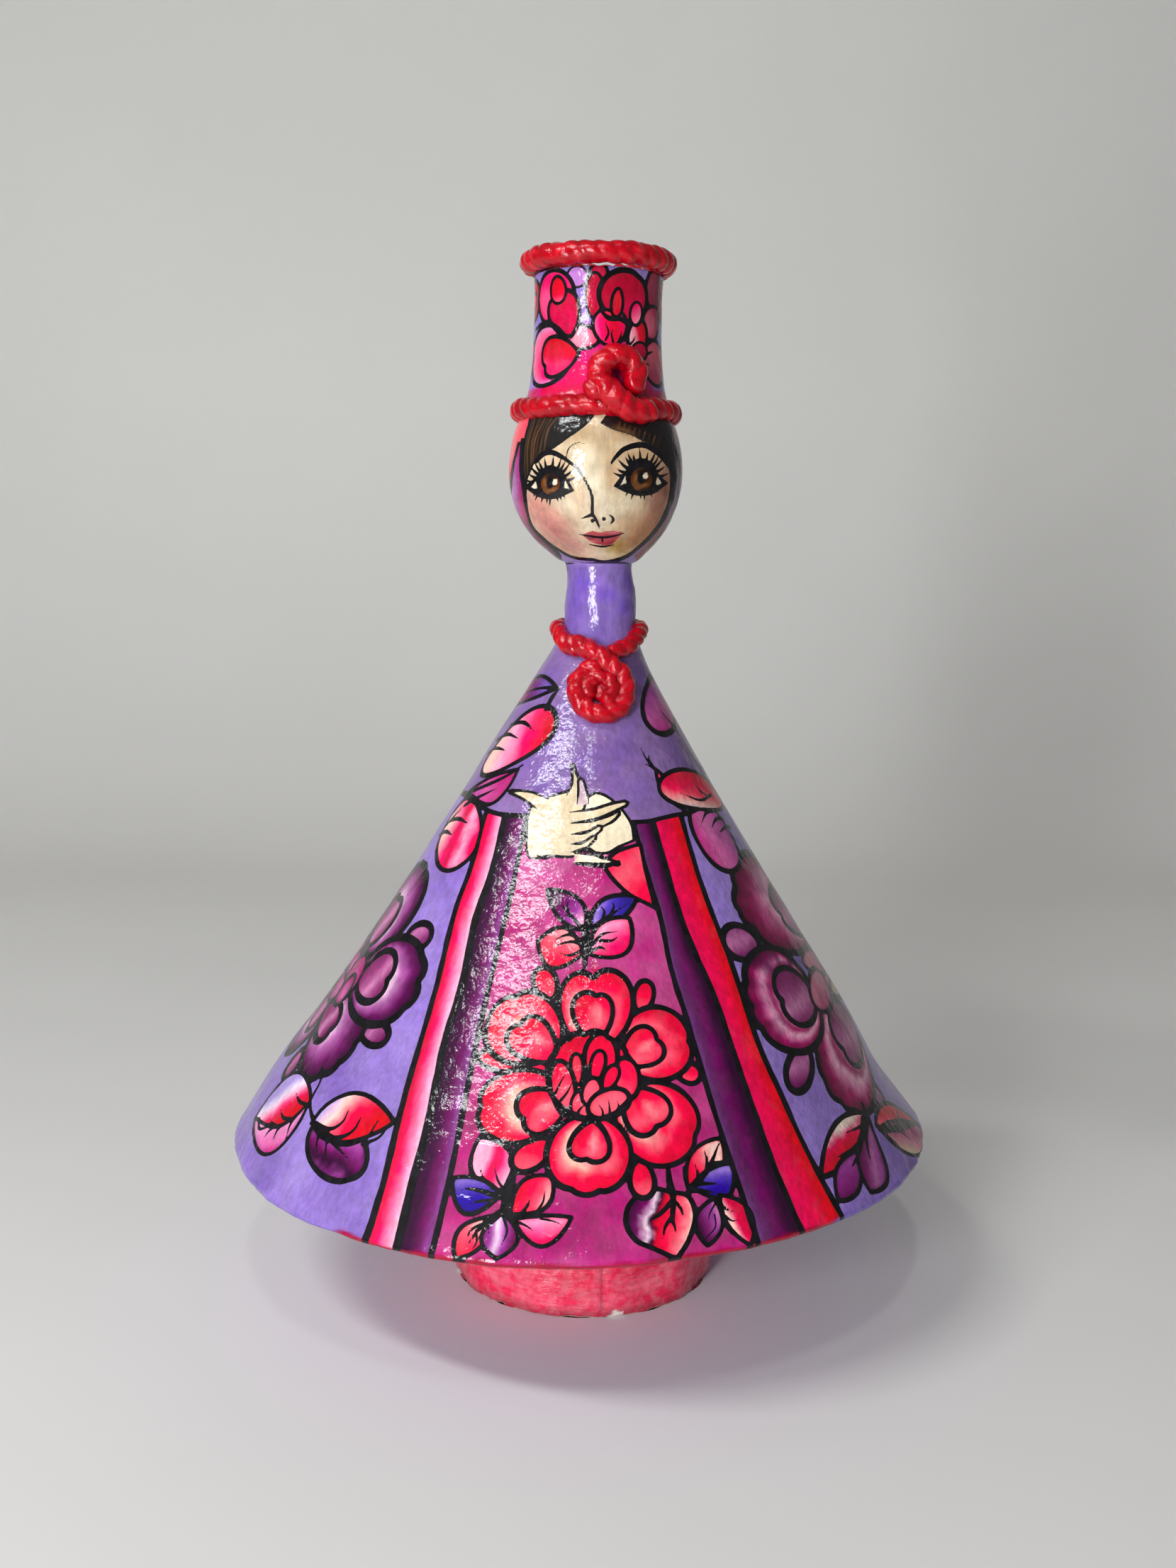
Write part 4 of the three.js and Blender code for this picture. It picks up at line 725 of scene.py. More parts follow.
def paint_skirt(th, r, z, pad):
    """Colour, ink and mesh size for points of the skirt and shoulder; th is 0 in front."""
    p3x, p3y, p3z = r * np.sin(th), -r * np.cos(th), z
    n1 = fnoise(p3x + 0.6 * p3z, p3y - 0.4 * p3z, 24.0, 2)
    n2 = fnoise(p3x * 1.3, p3z + p3y, 7.5, 9)
    up, dn = np.clip(n1 * 0.9 + 0.35 * n2, 0, 1)[:, None] * 0.6, np.clip(-n1 * 0.9 - 0.35 * n2, 0, 1)[:, None] * 0.6
    ground = LILAC * (1 - up - dn) + LILAC_PALE * up + LILAC_DEEP * dn
    # front
    x, y = cone_chart(th, r)
    ch = Chart(x, y, pad, 0.51, 0.94)
    ch.col[:] = ground
    front = np.abs(th) < 2.3
    ch.x = np.where(front, x, 1e6)
    side_flower_left(ch)
    side_flower_right(ch)
    stripes(ch)
    peony_chart(ch)
    stripe_lines(ch)
    cape(ch)
    shoulder_leaves(ch)
    hands(ch)
    # back
    tb = np.mod(th, 2 * np.pi) - np.pi
    xb, yb = cone_chart(tb, r)
    cb = Chart(xb, yb, pad, 0.8, 0.9)
    cb.col[:] = ch.col
    cb.ink[:], cb.need[:] = ch.ink, ch.need
    cb.x = np.where(np.abs(tb) < 1.05, xb, 1e6)
    back_paint(cb, 1)
    up = smooth((z - 226.0) / 7.0)[:, None]
    cb.col = cb.col * (1 - up) + neck_colour(th, r, z) * up
    return cb.col, cb.ink, cb.need


def neck_colour(th, r, z):
    """The lilac of the neck, darker where the brush was loaded."""
    x, y = r * np.sin(th), -r * np.cos(th)
    n1, n2 = fnoise(x + 0.4 * z, y - 0.5 * z, 15.0, 2), fnoise(x * 1.3 + y * 0.5, z + y * 0.6, 5.0, 9)
    up, dn = np.clip(n1 * 0.9 + 0.4 * n2, 0, 1)[:, None] * 0.6, np.clip(-n1 * 0.9 - 0.5 * n2, 0, 1)[:, None] * 0.7
    return C(134, 108, 180) * (1 - up - dn) + C(156, 134, 204) * up + C(98, 68, 152) * dn


def peony_chart(ch):
    sprigs(ch)
    peony(ch)

# ------------------------------------------------------------------ the head, in its front view, and the hat unrolled
FACE, FACE_PALE, FACE_WARM, BLUSH, TAN = C(200, 180, 148), C(228, 214, 188), C(180, 150, 114), C(192, 124, 116), C(146, 90, 74)
HAIR, HAIR_BROWN = C(24, 20, 20), C(92, 62, 40)
IRIS, IRIS_DARK, IRIS_LIGHT, WHITE = C(92, 44, 18), C(26, 12, 8), C(150, 98, 52), C(222, 208, 184)


def eye(ch, cx, cz, r, left, right, lid, low, glint, up, down, seed):
    """A round painted eye: a thick dark rim drawn out to two corners, brown iris, lashes."""
    rim_r = r + 1.0
    top = np.array([cx + 0.3, lid])
    P = np.vstack([spline([left, (cx - rim_r * 0.92, cz + rim_r * 0.42), (cx - rim_r * 0.45, lid - 0.9), top, (cx + rim_r * 0.66, lid - 1.5), (cx + rim_r * 1.04, cz + rim_r * 0.30), right], n=5),
                   spline([right, (cx + rim_r * 0.74, low + 0.75), (cx, low), (cx - rim_r * 0.8, low + 0.7), left], n=5)[1:-1]])
    mid = np.array([cx, (lid + low) / 2])
    for k in range(up):                                  # upper lashes, fanned out and bent over
        f = np.radians(176 - 166 * k / (up - 1) + 4 * np.sin(5 * k + seed))
        q = mid + np.array([np.cos(f) * rim_r * 1.12, np.sin(f) * (lid - mid[1]) * 0.9])
        out = np.array([np.cos(f) * 1.1, max(0.10, np.sin(f)) + 0.15])
        out /= np.hypot(*out)
        tip = q + out * (3.3 + 0.6 * np.sin(3 * k + seed))
        ch.stroke(spline([q - out * 1.2, q + out * 1.2 + (0.12 * np.sin(2 * k + seed), -0.15), tip + (0, 0.3)], n=4), [0.62, 0.46, 0.12])
    for k in range(down):
        f = np.radians(206 + 118 * k / (down - 1) + 5 * np.sin(4 * k + seed))
        q = mid + np.array([np.cos(f) * rim_r * 1.0, np.sin(f) * (mid[1] - low) * 0.92])
        tip = q + np.array([np.cos(f) * 1.7, -2.5 + 0.4 * np.sin(4 * k + seed)])
        ch.stroke(spline([q + (0, 0.7), (q + tip) / 2, tip], n=4), [0.52, 0.38, 0.1])
    ch.fill(P, HAIR, 0.35)
    idx, sd = ch.signed(P, 1.0)
    ch.ink[idx] = np.maximum(ch.ink[idx], 0.25 - sd)
    white = lambda pts: ch.fill(np.array(pts, float), WHITE, 0)
    lx, lz = left
    rx, rz = right
    white([(cx - rim_r - 1.7, lz + (cz - lz) * 0.1 - 0.35), (cx - rim_r * 0.98, cz + 0.9), (cx - rim_r * 0.9, cz - 1.6), (cx - rim_r * 1.08, cz - 1.8)])
    white([(cx + rim_r + 1.5, rz + (cz - rz) * 0.25 - 0.3), (cx + rim_r * 0.98, cz + 1.2), (cx + rim_r * 0.9, cz - 1.5), (cx + rim_r * 1.08, cz - 1.7)])
    ch.fill(blob(cx, cz - 0.2, r * 0.80, r * 0.86, 90), along((cx - 3, cz), (cx + 3, cz), [(0, IRIS * 1.1), (0.3, IRIS_LIGHT * 0.7), (0.55, IRIS_DARK), (1, IRIS * 0.8)], seed, 0.25, 1.6), 0)
    ch.dab(cx, cz + 2.2, 3.4, 1.3, 0, IRIS_DARK, 0.85, 1.2)
    ch.dab(cx + 1.0, cz - 2.1, 1.7, 0.8, 20, IRIS_LIGHT, 0.8, 1.3)
    ch.dab(cx - 1.9, cz + 0.6, 0.6, 1.6, 0, IRIS_LIGHT * 0.9, 0.7, 1.3)
    idx, sd = ch.signed(blob(cx - 0.1, cz + 0.2, 1.2, 1.8, 90), 1.0)
    ch.ink[idx] = np.maximum(ch.ink[idx], -sd)
    gx, gz = glint
    ch.fill(blob(gx, gz, 0.85, 1.05, 70), WHITE, 0)
    near = ch._near(P, 0.8)
    ch.need[near] = np.minimum(ch.need[near], 0.34)


def paint_face(ch):
    """Everything that is drawn on the front of the head."""
    x, z = ch.x, ch.y
    # veil: coral on the left of the brow, magenta and violet folds below, plum on the right
    coral_side = np.vstack([spline([(-34, 312), (-20.6, 309), (-21.6, 304.0), (-24.2, 299.0), (-26.6, 297.2)], n=5),
                            spline([(-28.0, 292.0), (-29.0, 286.0), (-34, 284)], n=5)])
    ch.fill(coral_side, along((-31, 300), (-23, 298), [(0, C(244, 150, 160)), (0.5, C(240, 92, 104)), (1, C(228, 60, 80))], 1, 0.2), 0.0)
    folds = np.vstack([spline([(-26.4, 298.0), (-28.3, 291.0), (-29.6, 283.0), (-31.5, 270.0), (-25.0, 258.0), (-13.0, 257.0)], n=5),
                       spline([(-13.0, 260.6), (-18.6, 266.4), (-22.2, 271.0), (-23.9, 281.0), (-25.0, 290.0), (-24.3, 298.0)], n=5)])
    ch.fill(folds, along((-30, 280), (-23, 280), [(0, C(190, 150, 200)), (0.35, C(168, 96, 160)), (0.7, C(150, 30, 96)), (1, MAUVE_DARK)], 2, 0.2), 0.6)
    ch.tint(np.array([(-24, 266), (-13, 259.4), (-11, 256), (-26, 256)], float), C(96, 62, 150), 0.85, 1.2)
    ch.fill(np.vstack([spline([(23.6, 309), (27.2, 299.6), (28.3, 291.0), (27.6, 280.0), (23.6, 271.0), (17.0, 264.0), (12.6, 261.0)], n=5),
                       spline([(14.0, 257.0), (25.0, 258.0), (32.6, 271.0), (33.0, 300.0), (29.0, 311.0)], n=5)]),
            along((27, 285), (33, 285), [(0, C(150, 84, 92)), (0.4, C(122, 74, 96)), (1, C(120, 96, 168))], 3, 0.2), 0.0)
    # the face
    face = np.vstack([spline([(-24.4, 300.0), (-25.0, 289.0), (-23.9, 281.0), (-22.2, 271.4), (-18.5, 266.5), (-12.3, 262.0), (-7.7, 260.3), (-1.8, 259.9)], n=5),
                      spline([(-1.8, 259.9), (2.3, 259.3), (8.6, 260.6), (12.8, 262.6), (16.9, 265.9), (20.3, 269.3), (23.2, 273.5), (25.3, 278.5), (26.4, 285.0), (27.0, 292.0), (25.0, 303.0), (12.0, 310.0), (-12.0, 310.0), (-24.4, 300.0)], n=5)])
    def skin_paint(x, y, d):
        c = mottled(x, y, FACE, FACE_PALE, FACE_WARM, 61, 0.7)
        w = (smooth((fnoise(x * 0.8 + y * 0.25, y, 5.5, 64) - 0.12) / 0.10) * 0.5)[:, None]
        v = (smooth((fnoise(x, y * 0.8 - x * 0.2, 7.5, 67) - 0.22) / 0.12) * 0.35)[:, None]
        c = c * (1 - w) + FACE_PALE * 1.02 * w
        return c * (1 - v) + FACE_WARM * v
    ch.fill(face, skin_paint, 0)
    for cx, cz, rx, rz, rot, c, a in ((0.5, 284, 4.6, 8, 0, FACE_PALE, .8), (-8, 277, 8, 5, 20, FACE_PALE, .7), (-4, 293.5, 7, 4, 0, FACE_PALE, .75), (11, 275, 6, 6, 30, FACE_PALE, .6), (-3, 268.5, 5, 4, -30, FACE_PALE, .6),
                                      (6, 300, 12, 3.6, 0, FACE_WARM, .6), (-6, 300.5, 6, 2.6, 30, FACE_WARM, .5), (3.5, 293, 3, 6, 20, FACE_WARM, .35),
                                      (-14, 291.4, 7.5, 2.6, 0, C(206, 172, 140), .7), (15.5, 293.4, 8.4, 3.0, 0, C(196, 156, 116), .75), (5.4, 286, 2.2, 5.0, 0, C(190, 148, 110), .6), (-5.4, 280.5, 2.6, 5.0, 20, C(202, 164, 130), .55),
                                      (-15.6, 271.6, 9.0, 5.4, -38, BLUSH, .85), (-20, 277.0, 4.0, 5.0, 10, BLUSH, .8), (-9, 264.0, 8.0, 3.4, -18, C(190, 130, 122), .7), (-13.4, 268.4, 5.5, 1.2, -38, C(176, 84, 84), .35),
                                      (21.0, 277.0, 4.4, 9.6, -12, TAN, .85), (23.6, 284, 3.4, 7.0, 0, C(128, 72, 62), .7), (16.6, 269.0, 6.4, 4.6, 38, C(156, 98, 62), .8), (10.4, 271.6, 6.0, 3.0, 50, C(176, 128, 84), .45),
                                      (7.2, 263.6, 3.6, 2.8, 10, C(158, 124, 56), .85), (1.5, 261.6, 5.0, 1.6, 0, FACE_PALE, .6), (12.0, 265.8, 4.2, 2.4, 40, C(150, 96, 56), .6), (22.6, 292.5, 3.0, 5.0, 0, C(180, 136, 104), .6)):
        ch.dab(cx, cz, rx, rz, rot, c, a, 1.1, 0.45, int(cx * 3 + cz) % 97)
    # hair
    hair_l = np.vstack([spline([(-22.4, 306.6), (-15.0, 309.4), (-1.0, 309.4), (-2.6, 304.4), (-9.6, 299.0), (-14.3, 295.9), (-18.5, 293.9), (-21.4, 290.2), (-23.3, 285.8)], n=5),
                        spline([(-23.6, 281.0), (-24.6, 289.0), (-24.3, 298.0), (-22.9, 304.0)], n=5)])
    ch.fill(hair_l, lambda x, y, d: mottled(x, y, HAIR, HAIR * 1.4, HAIR * 0.6, 71), 0.35)
    for k in range(13):                                  # brown hair lines, sweeping down from the band
        t = k / 12
        top = np.array([-21.4 + 9.4 * t, 306.2 + 0.8 * t])
        end = np.array([-23.9 + 6.4 * t + 0.5 * np.sin(7 * k), 285.6 + 9.8 * t])
        ch.stroke(spline([top, (top + end) / 2 + (-1.2 + 0.3 * np.sin(3 * k), 0.6), end], n=4), [0.12, 0.26, 0.1], HAIR_BROWN * (0.8 + 0.35 * np.sin(2.3 * k)), wob=0)
    hair_r = np.vstack([spline([(1.6, 304.0), (5.3, 302.2), (10.6, 300.8), (16.0, 298.4), (21.0, 294.7), (24.8, 290.2), (25.4, 283.0), (24.2, 274.4)], n=5),
                        spline([(26.9, 280.0), (28.1, 291.3), (26.9, 299.5), (24.4, 306.0), (14.0, 309.0), (6.0, 309.0), (1.6, 304.2)], n=5)])
    ch.fill(hair_r, lambda x, y, d: mottled(x, y, HAIR, HAIR * 1.5, HAIR * 0.6, 72), 0.2)
    for k in range(9):
        p = np.array([7.0 + 1.7 * k, 302.0 - 0.55 * k])
        ch.stroke([p + (0.8, 2.4), p + (-0.1, -0.6)], [0.3, 0.1], HAIR_BROWN * (0.9 + 0.3 * np.sin(3 * k)), wob=0)
    ch.dab(9.0, 301.8, 4.0, 1.2, -14, C(120, 84, 50), 0.75, 1.2)
    # the edge of the veil round the face
    ch.stroke(spline([(-24.9, 299.0), (-25.2, 289.0), (-24.2, 281.0), (-22.4, 271.4), (-18.6, 266.6), (-12.3, 261.9), (-7.7, 260.2), (-1.8, 259.8), (2.3, 259.2), (8.6, 260.4), (12.8, 262.5), (16.9, 265.8), (20.3, 269.2), (23.2, 273.3), (25.3, 278.3), (26.4, 285.0), (27.3, 292.0)], n=5),
              [0.9, 0.8, 0.55, 0.45, 0.45, 0.55, 0.7, 0.9, 1.0])
    ch.stroke(spline([(-26.5, 298.4), (-28.3, 291.0), (-29.3, 284.0), (-30.8, 274.0), (-29.0, 266.0)], n=5), [0.35, 0.6, 0.7, 0.4])
    ch.stroke(spline([(28.2, 299.0), (28.9, 290.0), (28.2, 279.0), (24.0, 269.6), (18.0, 263.4)], n=5), [0.4, 0.5, 0.5, 0.3])
    eye(ch, -15.0, 284.3, 4.1, (-24.0, 283.3), (-7.2, 282.0), 289.9, 279.4, (-13.4, 284.6), 12, 8, 1)
    eye(ch, 15.3, 286.2, 4.5, (6.4, 283.6), (24.2, 285.3), 292.7, 281.0, (16.6, 287.2), 13, 7, 2)
    # brows, nose
    ch.stroke(spline([(-20.0, 291.2), (-17.3, 293.9), (-14.3, 294.3), (-10.2, 292.2), (-6.0, 289.0), (-2.8, 284.3), (-1.0, 280.0), (-0.9, 274.6)]), [0.45, 0.85, 0.8, 0.55, 0.5, 0.5, 0.6, 0.5])
    ch.stroke(spline([(-9.8, 292.4), (-8.9, 295.6), (-6.2, 297.4), (-3.2, 297.0)]), [0.22, 0.2, 0.08])
    ch.stroke(spline([(4.8, 290.3), (6.5, 292.9), (9.8, 295.9), (15.3, 297.3), (19.8, 295.6), (22.4, 293.2), (24.6, 290.2)]), [0.35, 0.8, 1.0, 1.0, 0.9, 0.6, 0.25])
    ch.stroke(spline([(-4.9, 272.8), (-3.0, 273.5), (-1.0, 274.1), (0.2, 272.8), (0.9, 271.0), (1.2, 269.9)]), [0.1, 0.3, 0.55, 0.5, 0.5, 0.2])
    ch.stroke([(0.6, 271.6), (2.0, 270.2)], [0.3, 0.08])
    for p, r in (((-0.9, 272.3), 0.65), ((2.9, 272.9), 0.8)):
        ch.stroke([p, (p[0] + 0.2, p[1])], [r, r * 0.8])
    ch.stroke(spline([(3.9, 274.6), (5.4, 273.8), (6.0, 272.7), (5.1, 271.4)]), [0.12, 0.4, 0.55, 0.2])
    # lips
    lip, lip_dark = C(178, 84, 88), C(146, 52, 62)
    ch.fill(np.vstack([spline([(-4.6, 267.6), (-1.4, 268.9), (1.6, 268.5), (4.8, 269.1), (9.4, 268.6)], n=5), spline([(9.4, 268.6), (7.0, 266.2), (4.6, 264.5), (0.4, 264.6), (-2.6, 266.0), (-4.6, 267.6)], n=5)]),
            along((0, 269), (1, 264.4), [(0, lip), (0.35, lip), (0.45, lip_dark), (0.6, lip), (1, lip_dark)], 5, 0.06, 2.0), 0)
    ch.dab(5.4, 268.4, 2.6, 0.5, 0, C(206, 120, 118), 0.8, 1.1)
    ch.dab(-0.6, 265.6, 1.6, 0.6, 0, C(200, 110, 110), 0.6, 1.1)
    ch.stroke(spline([(-5.6, 267.8), (-2.6, 267.3), (2.3, 266.9), (6.0, 267.4), (9.6, 268.4)]), [0.12, 0.42, 0.42, 0.35, 0.12])
    ch.stroke(spline([(-2.5, 264.5), (1.9, 263.9), (5.9, 264.5)]), [0.15, 0.36, 0.15])
    ch.stroke([(2.0, 266.6), (2.1, 265.5)], [0.45, 0.3])


def hat_flowers(ch):
    """Petals and small hearts round the tube of the hat; x is the way round at radius 22."""
    lilac_edge = C(186, 130, 190)
    pinkp = lambda cx, cz, r, s: rim(toward(cx, cz, C(240, 84, 128), C(216, 42, 98), r, r + 7, s), C(196, 8, 72), 2.4, 0.7)
    crim = lambda s: rim(lambda x, y, d: mottled(x, y, C(182, 0, 50), C(222, 30, 94), C(150, 0, 30), s, 0.95), C(158, 0, 34), 1.8, 0.7)
    F, K = 0.6, 0.56
    ch.tint(np.array([(-19, 313.5), (3, 313.5), (3, 324), (-8, 324), (-12, 318.6), (-19, 317.6)], float), C(214, 6, 78), 0.95, 1.0)
    ch.tint(np.array([(-9, 314), (20, 314), (20, 336), (-9, 336)], float), C(216, 20, 92), 0.8, 2.0)
    for s in (-1, 1):                                   # round the sides and the back, plainer
        for i, (x, z, a, b, rot) in enumerate([(31.0, 346.6, 6.6, 7.2, 92), (36.6, 327.0, 7.4, 8.6, -6), (46.6, 345.4, 7.2, 8.0, 84), (53.6, 327.8, 7.6, 8.0, 186), (62.6, 345.0, 7.4, 7.6, 94)]):
            P = blob(s * x, z, a, b, rot if s > 0 else 180 - rot, 0.05, [(10, 0.1, 12), (-24, 0.08, 12)])
            ch.fill(P, rim(pinkp(s * x, z, 2, i), lilac_edge, 1.5, 0.5) if i % 2 else crim(i), F + 0.1, seed=i)
            ch.fill(blob(s * x * 1.004, z - 0.8, a * 0.46, b * 0.52, rot if s > 0 else 180 - rot, 0.25, [(0, 0.26, 20)]), crim(i + 5) if i % 2 else pinkp(s * x, z, 1, i), K, seed=i)
    ch.fill(blob(68.8, 328.0, 6.0, 8.4, 90, 0.1, [(0, .2, 20)]), crim(31), F)
    ch.fill(blob(-69.4, 328.0, 6.0, 8.4, 90, 0.1, [(0, .2, 20)]), crim(31), F)
    ch.fill(blob(22.4, 349.2, 4.8, 6.8, 92, 0.0), C(150, 52, 78), F + 0.1)
    ch.fill(blob(21.6, 338.4, 5.0, 5.8, 60, 0.0), rim(toward(21, 338, C(206, 96, 120), C(170, 60, 92), 1, 6), C(150, 40, 80), 1.6, 0.5), F)
    ch.fill(blob(23.2, 325.4, 7.6, 6.8, 0, 0.0, [(0, 0.05, 12)]), rim(toward(21, 327, C(216, 104, 122), C(190, 76, 104), 1, 7), C(160, 40, 84), 1.8, 0.5), F + 0.1)
    ch.stroke(spline([(16.6, 327.4), (19.0, 328.2), (22.6, 329.4)]), [0.6, 0.5, 0.1])
    ch.stroke(spline([(16.6, 324.0), (18.0, 324.6), (19.8, 324.4)]), [0.5, 0.4, 0.1])
    ch.fill(blob(0.0, 352.6, 3.0, 3.6, 90, 0.0), crim(2), F)
    ch.fill(blob(-7.2, 351.8, 3.6, 3.4, 80, 0.0), C(176, 118, 190), 0.4)
    ch.fill(blob(-16.8, 345.8, 8.7, 8.8, 96, 0.04), rim(pinkp(-19, 343, 3, 1), C(222, 130, 170), 2.0, 0.4), F + 0.15)
    ch.fill(blob(-19.4, 327.0, 10.0, 11.0, 183, 0.0, [(-4, 0.16, 12)]), rim(toward(-15, 326, C(232, 44, 102), C(246, 112, 150), 5, 12, 2), lilac_edge, 3.0, 0.85), F + 0.2)
    ch.fill(blob(-5.4, 332.4, 3.9, 6.0, 172, 0.1), rim(toward(-6, 332, C(246, 140, 160), C(232, 84, 122), 1, 5), C(222, 30, 88), 1.4, 0.5), F)
    ch.fill(blob(-1.0, 345.6, 3.2, 7.4, 92, 0.0), crim(6), 0.5)
    ch.fill(blob(-12.2, 340.6, 6.2, 7.6, 112, 0.22, [(8, 0.24, 22), (180, -0.14, 20)]), crim(3), F + 0.15)
    ch.fill(blob(-14.6, 348.0, 3.3, 4.4, 96, -0.1), along((-15, 352), (-14, 344), [(0, C(188, 0, 22)), (0.6, C(204, 2, 38)), (1, C(226, 70, 104))], 4), K)
    ch.fill(blob(-14.6, 326.4, 6.6, 7.4, 186, 0.2, [(24, 0.26, 20), (180, -0.16, 18)]), along((-14, 333), (-15, 320), [(0, C(186, 0, 20)), (0.5, C(204, 2, 46)), (0.68, C(222, 56, 100)), (1, C(222, 60, 106))], 5), K + 0.15)
    ch.fill(blob(9.2, 346.0, 9.0, 8.2, 88, 0.0, [(-30, 0.05, 10)]), crim(7), F + 0.3)
    ch.fill(blob(4.2, 335.8, 5.8, 6.2, 92, 0.14, [(-4, 0.22, 20)]), along((0, 334), (9, 336), [(0, C(246, 96, 140)), (0.35, C(224, 8, 70)), (0.7, C(206, 0, 40)), (1, C(226, 30, 84))], 8), F)
    ch.fill(blob(14.4, 333.0, 4.0, 6.0, 78, 0.05), along((10.6, 332), (18, 334), [(0, C(250, 196, 206)), (0.4, C(240, 130, 150)), (0.6, C(206, 0, 40)), (1, C(196, 0, 30))], 9), F + 0.1)
    ch.fill(blob(15.0, 328.4, 3.0, 3.6, 20, 0.05), crim(9), 0.5)
    ch.fill(blob(6.4, 343.6, 2.0, 4.6, 86, -0.12), C(200, 2, 38), K)
    ch.fill(blob(13.6, 340.6, 2.5, 3.8, 82, 0.0), along((12, 343), (15, 338), [(0, C(232, 40, 96)), (1, C(248, 150, 176))], 3), K)
    for P in ([(2.6, 331.4), (3.6, 334.0), (2.2, 337.4)], [(7.0, 331.0), (7.8, 333.0), (8.2, 334.8)], [(5.2, 330.8), (4.6, 333.4), (5.0, 335.0)], [(11.4, 330.6), (12.6, 332.0), (13.4, 333.6)]):
        ch.stroke(spline(P, n=5), [0.42, 0.36, 0.08])
    ch.stroke(spline([(0.6, 341.2), (3.6, 338.6), (8.0, 338.4), (10.4, 336.0), (9.4, 331.6)]), [0.6, 0.9, 0.9, 0.8, 0.5])
    ch.stroke(spline([(-11.2, 333.2), (-14.6, 336.0), (-20.0, 338.0), (-28.6, 336.4)]), [0.5, 0.7, 0.8, 0.6])


def round_chart(th, r):
    """The front view of a round body, carried on round the sides by the length of the arc."""
    s = np.abs(th)
    return np.sign(th) * np.where(s < np.pi / 2, r * np.sin(s), r * (1 + s - np.pi / 2))


def ground_noise(th, r, z, seed):
    a, b = r * np.sin(th), -r * np.cos(th)
    return fnoise(a + 0.6 * z, b - 0.4 * z, 19.0, seed), fnoise(a * 1.3 + b * 0.4, z + b, 6.0, seed + 7)


def paint_head(th, r, z, pad):
    n1, n2 = ground_noise(th, r, z, 2)
    up, dn = np.clip(n1 * 0.9 + 0.35 * n2, 0, 1)[:, None] * 0.5, np.clip(-n1 * 0.9 - 0.35 * n2, 0, 1)[:, None] * 0.6
    ground = LILAC * (1 - up - dn) + LILAC_PALE * up + LILAC_DEEP * dn
    neck = neck_colour(th, r, z)
    w = smooth((z - 256) / 4)[:, None]
    col = neck * (1 - w) + ground * w
    ch = Chart(round_chart(th, r), z, pad)
    ch.col[:] = col
    for k in range(9):                                  # sweeps of the veil over the back of the head
        a = np.radians(62 + 33 * k)
        wv = np.exp(-((((th - a + np.pi) % (2 * np.pi)) - np.pi + 0.012 * (z - 285)) / 0.10) ** 2) * smooth((z - 262) / 12)
        c = (C(232, 84, 112), C(160, 70, 150), C(98, 70, 164))[k % 3]
        on = smooth((np.abs(th) - 1.35) / 0.3)
        ch.col = ch.col * (1 - 0.7 * (wv * on)[:, None]) + c * 0.7 * (wv * on)[:, None]
    for cx, cz, rx, rz in ((2.5, 247.5, 3.0, 2.6), (-6, 252, 2.6, 4), (8.6, 243, 2.4, 3), (-9, 245, 2.0, 4), (10, 252, 2.4, 4)):
        ch.dab(cx, cz, rx, rz, 0, C(96, 66, 176), 0.5, 1.2, 0.4, int(cx + 50))
    up_ = z > 254
    keep = ch.x
    ch.x = np.where(up_, keep, 1e6)
    paint_face(ch)
    for s in (-1, 1):                                   # folds of the veil, drawn round the back
        for k in range(3):
            a0 = s * np.radians(104 + 24 * k)
            X = lambda rr, t: s * rr * (1 + abs(t) - np.pi / 2)
            ch.stroke(spline([(X(25, a0), 305), (X(30, a0 + s * 0.06), 290), (X(27, a0 - s * 0.02), 272), (X(19, a0 - s * 0.10), 262)], n=5), [0.3, 0.55, 0.6, 0.25])
    # where the veil meets the neck
    ch.ink = np.maximum(ch.ink, (0.35 + 0.15 * np.sin(3 * th)) - np.abs(z - (258.4 + 0.5 * np.sin(2 * th + 1))))
    ch.need = np.minimum(ch.need, 0.6 + 0.4 * np.maximum(0, np.abs(z - 258.4) - 1 - ch.pad))
    return ch.col, ch.ink, ch.need


def paint_hat(th, r, z, pad, inside):
    n1, n2 = ground_noise(th, r, z, 5)
    up, dn = np.clip(n1 * 0.9 + 0.35 * n2, 0, 1)[:, None] * 0.5, np.clip(-n1 * 0.9 - 0.35 * n2, 0, 1)[:, None] * 0.6
    col = LILAC * (1 - up - dn) + LILAC_PALE * up + LILAC_DEEP * dn
    X = th * 22.0
    ch = Chart(np.where(inside, 1e6, X), z, pad)
    ch.col[:] = col
    hat_flowers(ch)
    low = smooth((317.6 - z + 0.8 * n2) / 2.2)[:, None] * (~inside)[:, None]
    ch.col = ch.col * (1 - 0.75 * low) + C(208, 20, 66) * 0.75 * low
    card = C(150, 128, 118) * (1 + 0.10 * n2[:, None]) * (1 + 0.08 * n1[:, None])
    # the inside of the cup darker towards its floor
    darker_to_cup_floor = smooth((345 - z) / 30)[:, None] * 0.35
    ch.col = np.where(inside[:, None], card * (1 - darker_to_cup_floor), ch.col)
    return ch.col, ch.ink, ch.need

# ------------------------------------------------------------------ meshes
def to_linear(c):
    c = np.clip(c, 0, 1)
    return np.where(c <= 0.04045, c / 12.92, ((c + 0.055) / 1.055) ** 2.4)


